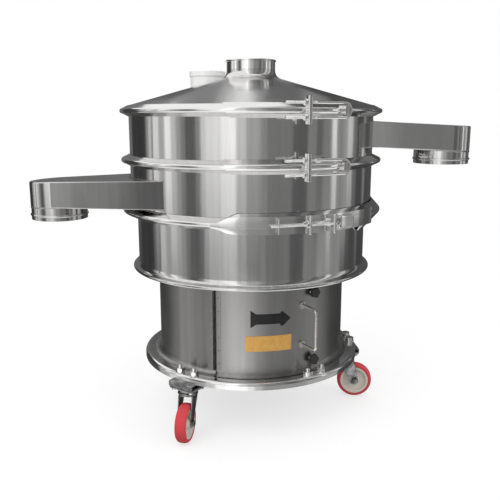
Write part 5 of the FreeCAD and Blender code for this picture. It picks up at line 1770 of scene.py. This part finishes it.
    def _draw_bolt(self) -> None:
        """The U bolt: two threaded legs, a bend, and a nut with a washer on each leg."""
        y, z, half = -(self.saddle_nose + self.standoff), self.z, self.pitch / 2
        threads_end = self.bar_at + 0.026
        bend = arc_points(self.right, z, half, 90.0, -90.0, 20)
        path = [[threads_end - 0.004, z + half], [threads_end, z + half], *bend,
                [threads_end, z - half], [threads_end - 0.004, z - half]]
        skins = [sweep(np.insert(path, 1, y, 1), self.rod / 2, (0, 1, 0), 16)]
        leg = thread(self.rod, threads_end - self.left)
        head = joined(hex_head(0.015, 0.0065).moved(z=0.0015), washer(0.0175, self.rod, 0.0015))
        face = self.bar_at - self.bar[0] / 2
        for height in (z - half, z + half):
            skins.append(leg.placed((self.left, y, height), Facing.RIGHT))
            skins.append(head.placed((face, y, height), Facing.LEFT))
        piece(f"draw_bolt_{self.name}", STACK, "bolt_steel", PLATED, joined(*skins).turned(self.bolt_azimuth),
              replaces=f"clamp_bolt_{self.name}")


@dataclass
class Lid:
    """The conical lid, its inlet and its sight port."""

    sheet: float = 0.002
    edge_up: float = 0.016
    top_up: float = 0.103
    inlet: float = 0.076
    inlet_high: float = 0.155
    port: Pair = (-0.147, 0.164)
    port_radius: float = 0.0575
    port_high: float = 0.124
    cap_thick: float = 0.007
    cap_lap: float = 0.003

    @property
    def edge(self) -> float:
        """Radius of the cone's foot."""
        return CLAMPING.wall + 0.001

    @property
    def slope(self) -> float:
        """The cone's rise for each metre towards the axis."""
        return (self.top_up - self.edge_up) / (self.edge - self.inlet)

    def cone_height(self, spots: Array) -> Array:
        """Height of the cone over points: height of its foot + slope (radius of its foot - r)."""
        reach = np.linalg.norm(spots[:, :2], axis=1)
        return clamp_height("top") + self.edge_up + self.slope * (self.edge - reach)

    def build(self) -> None:
        """Builds the lid."""
        self._cone()
        self._inlet()
        self._port()

    def _cone(self) -> None:
        """The cone with its clamp flange, and the fillet at the foot of the inlet."""
        c, edge, fillet, inner = CLAMPING, self.edge, 0.024, self.inlet - self.sheet
        drop = self.sheet * math.sqrt(1 + self.slope**2)
        corners = [[edge, self.edge_up], [self.inlet, self.top_up], [self.inlet, self.top_up + 2 * fillet],
                   [self.inlet + 0.5, 1.0]]
        blend = rounded(corners, fillet, 8)[9:18]
        rim = [[c.bore, c.gasket / 2], [c.flange, c.gasket / 2], [c.flange, c.tip], [edge, c.root],
               [edge, self.edge_up - 0.0008], [edge - 0.0012, self.edge_up + 0.0003]]
        under = [[inner, self.top_up + fillet], [inner, self.top_up - drop],
                 [c.bore, self.edge_up + self.slope * (edge - c.bore) - drop]]
        cone = np.concatenate([rim, blend, under]) + [0.0, clamp_height("top")]
        piece("lid_sheet", STACK, "polished_steel", LIDDING, revolve(cone), replaces="lid_cone")

    def _inlet(self) -> None:
        """The inlet's pipe, with a lip rolled outwards by a half circle."""
        inner, lip = self.inlet - self.sheet, 0.003
        low, top = (clamp_height("top") + up for up in (self.top_up - 0.014, self.inlet_high))
        roll = arc_points(self.inlet, top - lip, lip, -90.0, 90.0, 9)
        pipe = [[inner, low], [self.inlet, low], [self.inlet, top - 2 * lip], *roll, [inner, top - 0.0008]]
        # The pipe is coloured near white as a painted highlight.
        piece("inlet_pipe", STACK, "polished_steel", HIGHLIT_SPOUT, revolve(pipe, steps=144), replaces="inlet_spout")

    def _port(self) -> None:
        """The sight port: a collar cut to the cone, its weld and its cap."""
        x, y = self.port
        top = clamp_height("top") + self.port_high
        rings = []
        for inset, high in ((0.0, False), (0.0, True), (self.sheet, True), (self.sheet, False)):
            spot = circle(self.port_radius - inset, 120) + [x, y]
            rings.append(lifted(spot, top if high else self.cone_height(spot)))
        # The collar is coloured near white as painted glare.
        piece("port_collar", STACK, "polished_steel", GLARE_WHITE, loft(np.array(rings), closed=True),
              replaces="sight_port")
        path = ring_path(self.port_radius + 0.0006, 0.0, 300, x, y)
        path[:, 2] = self.cone_height(path) + 0.0006
        piece("port_weld", STACK, "polished_steel", WELD, weld(path, 0.0016, True))
        outer = self.port_radius + self.cap_lap
        inner, skirt, high = self.port_radius + 0.0003, top - 0.010, top + self.cap_thick
        cap = [[CORE, top], [inner, top], [inner, skirt], [outer, skirt], [outer, high], [CORE, high]]
        cap = revolve(rounded(cap, 0.002, 4), steps=96).moved(x, y)
        # The cap is coloured near white as painted glare.
        piece("port_lid", STACK, "polished_steel", GLARE_WHITE, cap, replaces="sight_port_cap")


@dataclass(frozen=True)
class Card:
    """A flag or strip of light that stands round the machine, seen by the metal only.

    Attributes:
        start: first azimuth in degrees, from the front towards +X.
        end: last azimuth in degrees.
        level: how bright it is, 1 being the white background.
        fade: the share of its level that is left at its lower edge.
        low: lower height in metres at the surround's radius.
        high: upper height in metres.
    """

    start: float
    end: float
    level: float
    fade: float = 1.0
    low: float = -3.7
    high: float = 7.7


WALLS = tuple(Card(*spot) for spot in (
    (-168, -143, 0.16, 0.3), (-143, -110, 0.05), (-110, -105.5, 0.3, 0.4), (-105.5, -101, 0.7, 0.2),
    (-101, -98.5, 0.15), (-98.5, -91, 0.95, 0.5), (-91, -83, 0.5, 0.8), (-83, -75.5, 1.1, 0.3),
    (-75.5, -70, 0.72, 0.5), (-70, -65, 0.42, 0.7), (-65, -60, 0.28, 0.7), (-60, -50, 0.13),
    (-50, -45, 0.3, 0.4), (-45, -40, 0.8, 0.3), (-40, -26, 1.0, 0.35), (-26, -13, 1.25, 0.3),
    (-13, -4, 0.72, 0.4), (-4, 9, 0.46, 0.4), (9, 14, 0.32, 0.8), (14, 37, 0.23, 0.85), (37, 51, 0.13, 0.8),
    (51, 60, 0.26), (60, 66, 0.14, 1.8), (66, 77, 0.24, 1.5), (77, 82.5, 1.0, 0.25), (82.5, 92, 0.3),
    (92, 97, 0.4, 0.7), (97, 105, 0.7, 0.05), (105, 112, 0.2, 0.3), (112, 125, 0.08), (125, 130, 0.3, 0.3),
    (130, 168, 0.09, 0.6)))
FLOORING = tuple(Card(*spot, 1.0, -12.0, -3.7) for spot in (
    (-168, -113, 0.07), (-113, -95, 0.4), (-95, -82, 0.75), (-82, -76, 0.4), (-76, -66, 0.62), (-66, -48, 0.36),
    (-48, -37, 0.6), (-37, -26, 1.1), (-26, -4, 1.3), (-4, 4, 0.95), (4, 12, 0.55), (12, 60, 0.33),
    (60, 104, 0.42), (104, 168, 0.06)))
BEHIND = tuple(Card(start, end, level, 1.0, low, high) for low, high, spots in (
    (-12.0, 0.47, ((-180, -168, 0.07), (168, 180, 0.07))),
    (0.47, 6.2, ((-180, -173, 0.55), (-173, -168, 0.1), (173, 180, 0.25), (168, 173, 0.06))),
    (6.2, 12.0, ((-180, -177, 0.8), (-177, -175.5, 0.6), (-175.5, -174, 0.4), (-174, -168, 0.22),
                 (179, 180, 0.62), (177.5, 179, 0.3), (171, 177.5, 0.13), (168, 171, 0.25)))
) for start, end, level in spots)


@dataclass(frozen=True)
class Glow(Dressing):
    """The light of a card, which grows from its faded level at the lower edge to its full level.

    Attributes:
        card: the card.
    """

    card: Card

    def look(self, lay: Lay) -> dict[str, object]:
        """Lays the light as a ramp of the height.

        Args:
            lay: layer of the material's nodes.

        Returns:
            The shader's inputs.
        """
        spot = lay.node("ShaderNodeSeparateXYZ", {0: lay.node("ShaderNodeTexCoord").outputs["Object"]}).outputs
        low, full = self.card.low, self.card.level
        scale = {"Value": spot["Z"], "From Min": low, "From Max": max(0.3, low + 1.0),
                 "To Min": full * self.card.fade, "To Max": full}
        return {"Base Color": (0.0, 0.0, 0.0, 1.0), "Specular IOR Level": 0.0, "Emission Color": WHITE,
                "Emission Strength": lay.node("ShaderNodeMapRange", scale).outputs[0]}


@dataclass(frozen=True)
class PaleFloor(Dressing):
    """A grey floor that looks white to the camera and keeps its shadows."""

    name: str = "pale_floor"

    def look(self, lay: Lay) -> dict[str, object]:
        """Lays a glow that only the camera sees.

        Args:
            lay: layer of the material's nodes.

        Returns:
            The shader's inputs.
        """
        seen = lay.node("ShaderNodeLightPath").outputs["Is Camera Ray"]
        return {"Base Color": (0.4, 0.4, 0.4, 1.0), "Roughness": 1.0, "Specular IOR Level": 0.0,
                "Emission Color": WHITE, "Emission Strength": lay.ramp(seen, 0.0, 0.62)}


@dataclass
class Studio:
    """A pale floor, a white background, soft lamps and the cards that the metal mirrors.

    Attributes:
        radius: distance of the cards from the machine's axis.
        tall: height of the wall cards that start at or after the azimuth tall_from.
        lens: focal length of the camera in millimetres.
        place: where the camera stands.
        tilt: degrees that it looks down.
        ground: half the width of the floor.
    """

    radius: float = 15.0
    tall: float = 40.0
    tall_from: float = -26.0
    lens: float = 46.512
    place: Triple = (-0.0028, -2.098, 0.9635)
    tilt: float = 11.78
    ground: float = 40.0

    def build(self) -> None:
        """Builds the stage, the light and the camera."""
        self._world()
        self._floor()
        walls = tuple(replace(card, high=self.tall) if card.start >= self.tall_from else card for card in WALLS)
        for number, card in enumerate(walls + FLOORING + BEHIND):
            self._card(number, card)
        self._lamp("key", (-2.2, -3.0, 3.4), 60.0)
        self._lamp("fill", (3.2, -2.4, 2.2), 30.0)
        self._camera()

    def _camera(self) -> None:
        """The camera of the photo, over a square picture."""
        scene = bpy.context.scene
        scene.view_settings.view_transform = "Standard"
        data = bpy.data.cameras.new("camera")
        data.lens, data.sensor_width = self.lens, 36.0
        camera = bpy.data.objects.new("camera", data)
        camera.location = self.place
        camera.rotation_euler = (math.radians(90.0 - self.tilt), 0.0, 0.0)
        scene.collection.objects.link(camera)
        scene.camera = camera
        scene.render.resolution_x = scene.render.resolution_y = 500

    def _world(self) -> None:
        """White for the camera, mirrors and glass, and an even pale light for the rest."""
        world = bpy.data.worlds.new("surroundings")
        world.use_nodes = True
        lay = Lay(world.node_tree)
        path = lay.node("ShaderNodeLightPath").outputs
        seen = lay.math("ADD", path["Is Camera Ray"], path["Is Glossy Ray"])
        seen = lay.math("MINIMUM", lay.math("ADD", seen, path["Is Transmission Ray"]), 1.0)
        back = world.node_tree.nodes["Background"].inputs
        lay.put(WHITE, back["Color"])
        lay.put(lay.ramp(seen, 0.95, 1.0), back["Strength"])
        bpy.context.scene.world = world

    def _stand(self, name: str, points: list, faces: list, finish: Dressing) -> bpy.types.Object:
        """Stands a part of the stage, whose glow isn't sampled as a lamp.

        Args:
            name: the object's name.
            points: its points.
            faces: the points of each face.
            finish: its material.

        Returns:
            The new object.
        """
        mesh = bpy.data.meshes.new(name)
        mesh.from_pydata(points, [], faces)
        mesh.materials.append(finish.material())
        mesh.materials[0].cycles.emission_sampling = "NONE"
        made = bpy.data.objects.new(name, mesh)
        bpy.context.scene.collection.objects.link(made)
        return made

    def _floor(self) -> None:
        """A white floor that keeps the shadow."""
        corners = [(x * self.ground, y * self.ground, 0.0) for x, y in ((-1, -1), (1, -1), (1, 1), (-1, 1))]
        self._stand("floor", corners, [(0, 1, 2, 3)], PaleFloor()).visible_glossy = False

    def _card(self, number: int, card: Card) -> None:
        """A curved card on the surround's circle, as a grid of azimuths and two heights.

        Args:
            number: its number, which names it.
            card: where it stands and how bright it is.
        """
        count = max(2, int((card.end - card.start) / 2))
        a = np.radians(np.linspace(card.start, card.end, count + 1))
        ring = np.stack([self.radius * np.sin(a), -self.radius * np.cos(a)], 1)
        points = np.concatenate([lifted(ring, z) for z in (card.low, card.high)])
        faces = [(i, i + 1, i + count + 2, i + count + 1) for i in range(count)]
        made = self._stand(f"card_{number}", points.tolist(), faces, Glow(f"card_{number}", card))
        for kind in ("camera", "diffuse", "shadow", "transmission", "volume_scatter"):
            setattr(made, f"visible_{kind}", False)

    def _lamp(self, name: str, place: Triple, power: float) -> None:
        """A soft lamp aimed at the middle of the machine.

        Args:
            name: its name.
            place: where it stands.
            power: its power in watts.
        """
        data = bpy.data.lights.new(name, "AREA")
        data.size, data.energy = 3.0, power
        lamp = bpy.data.objects.new(name, data)
        lamp.location = place
        aim = np.array([0.0, 0.0, 0.6]) - np.array(place)
        tilt = math.acos(-aim[2] / np.linalg.norm(aim))
        lamp.rotation_euler = (tilt, 0.0, math.atan2(aim[1], aim[0]) - math.pi / 2)
        lamp.visible_glossy = False
        bpy.context.scene.collection.objects.link(lamp)


def main() -> None:
    """Builds every sub-assembly, the stage and the light."""
    logging.basicConfig(level=logging.INFO, format="%(message)s")
    for caster in (("front_left", -35.0, -12.0), ("right", 96.0, 84.0), ("rear_left", 205.0, 214.0)):
        Caster(*caster).build()
    for assembly in (Base(), Door(), Springs(), Motor(), Pan(), Decks()):
        assembly.build()
    for name in ("lower", "middle", "top"):
        Clamp(name).build()
    Lid().build()
    Studio().build()


if __name__ == "__main__":
    main()
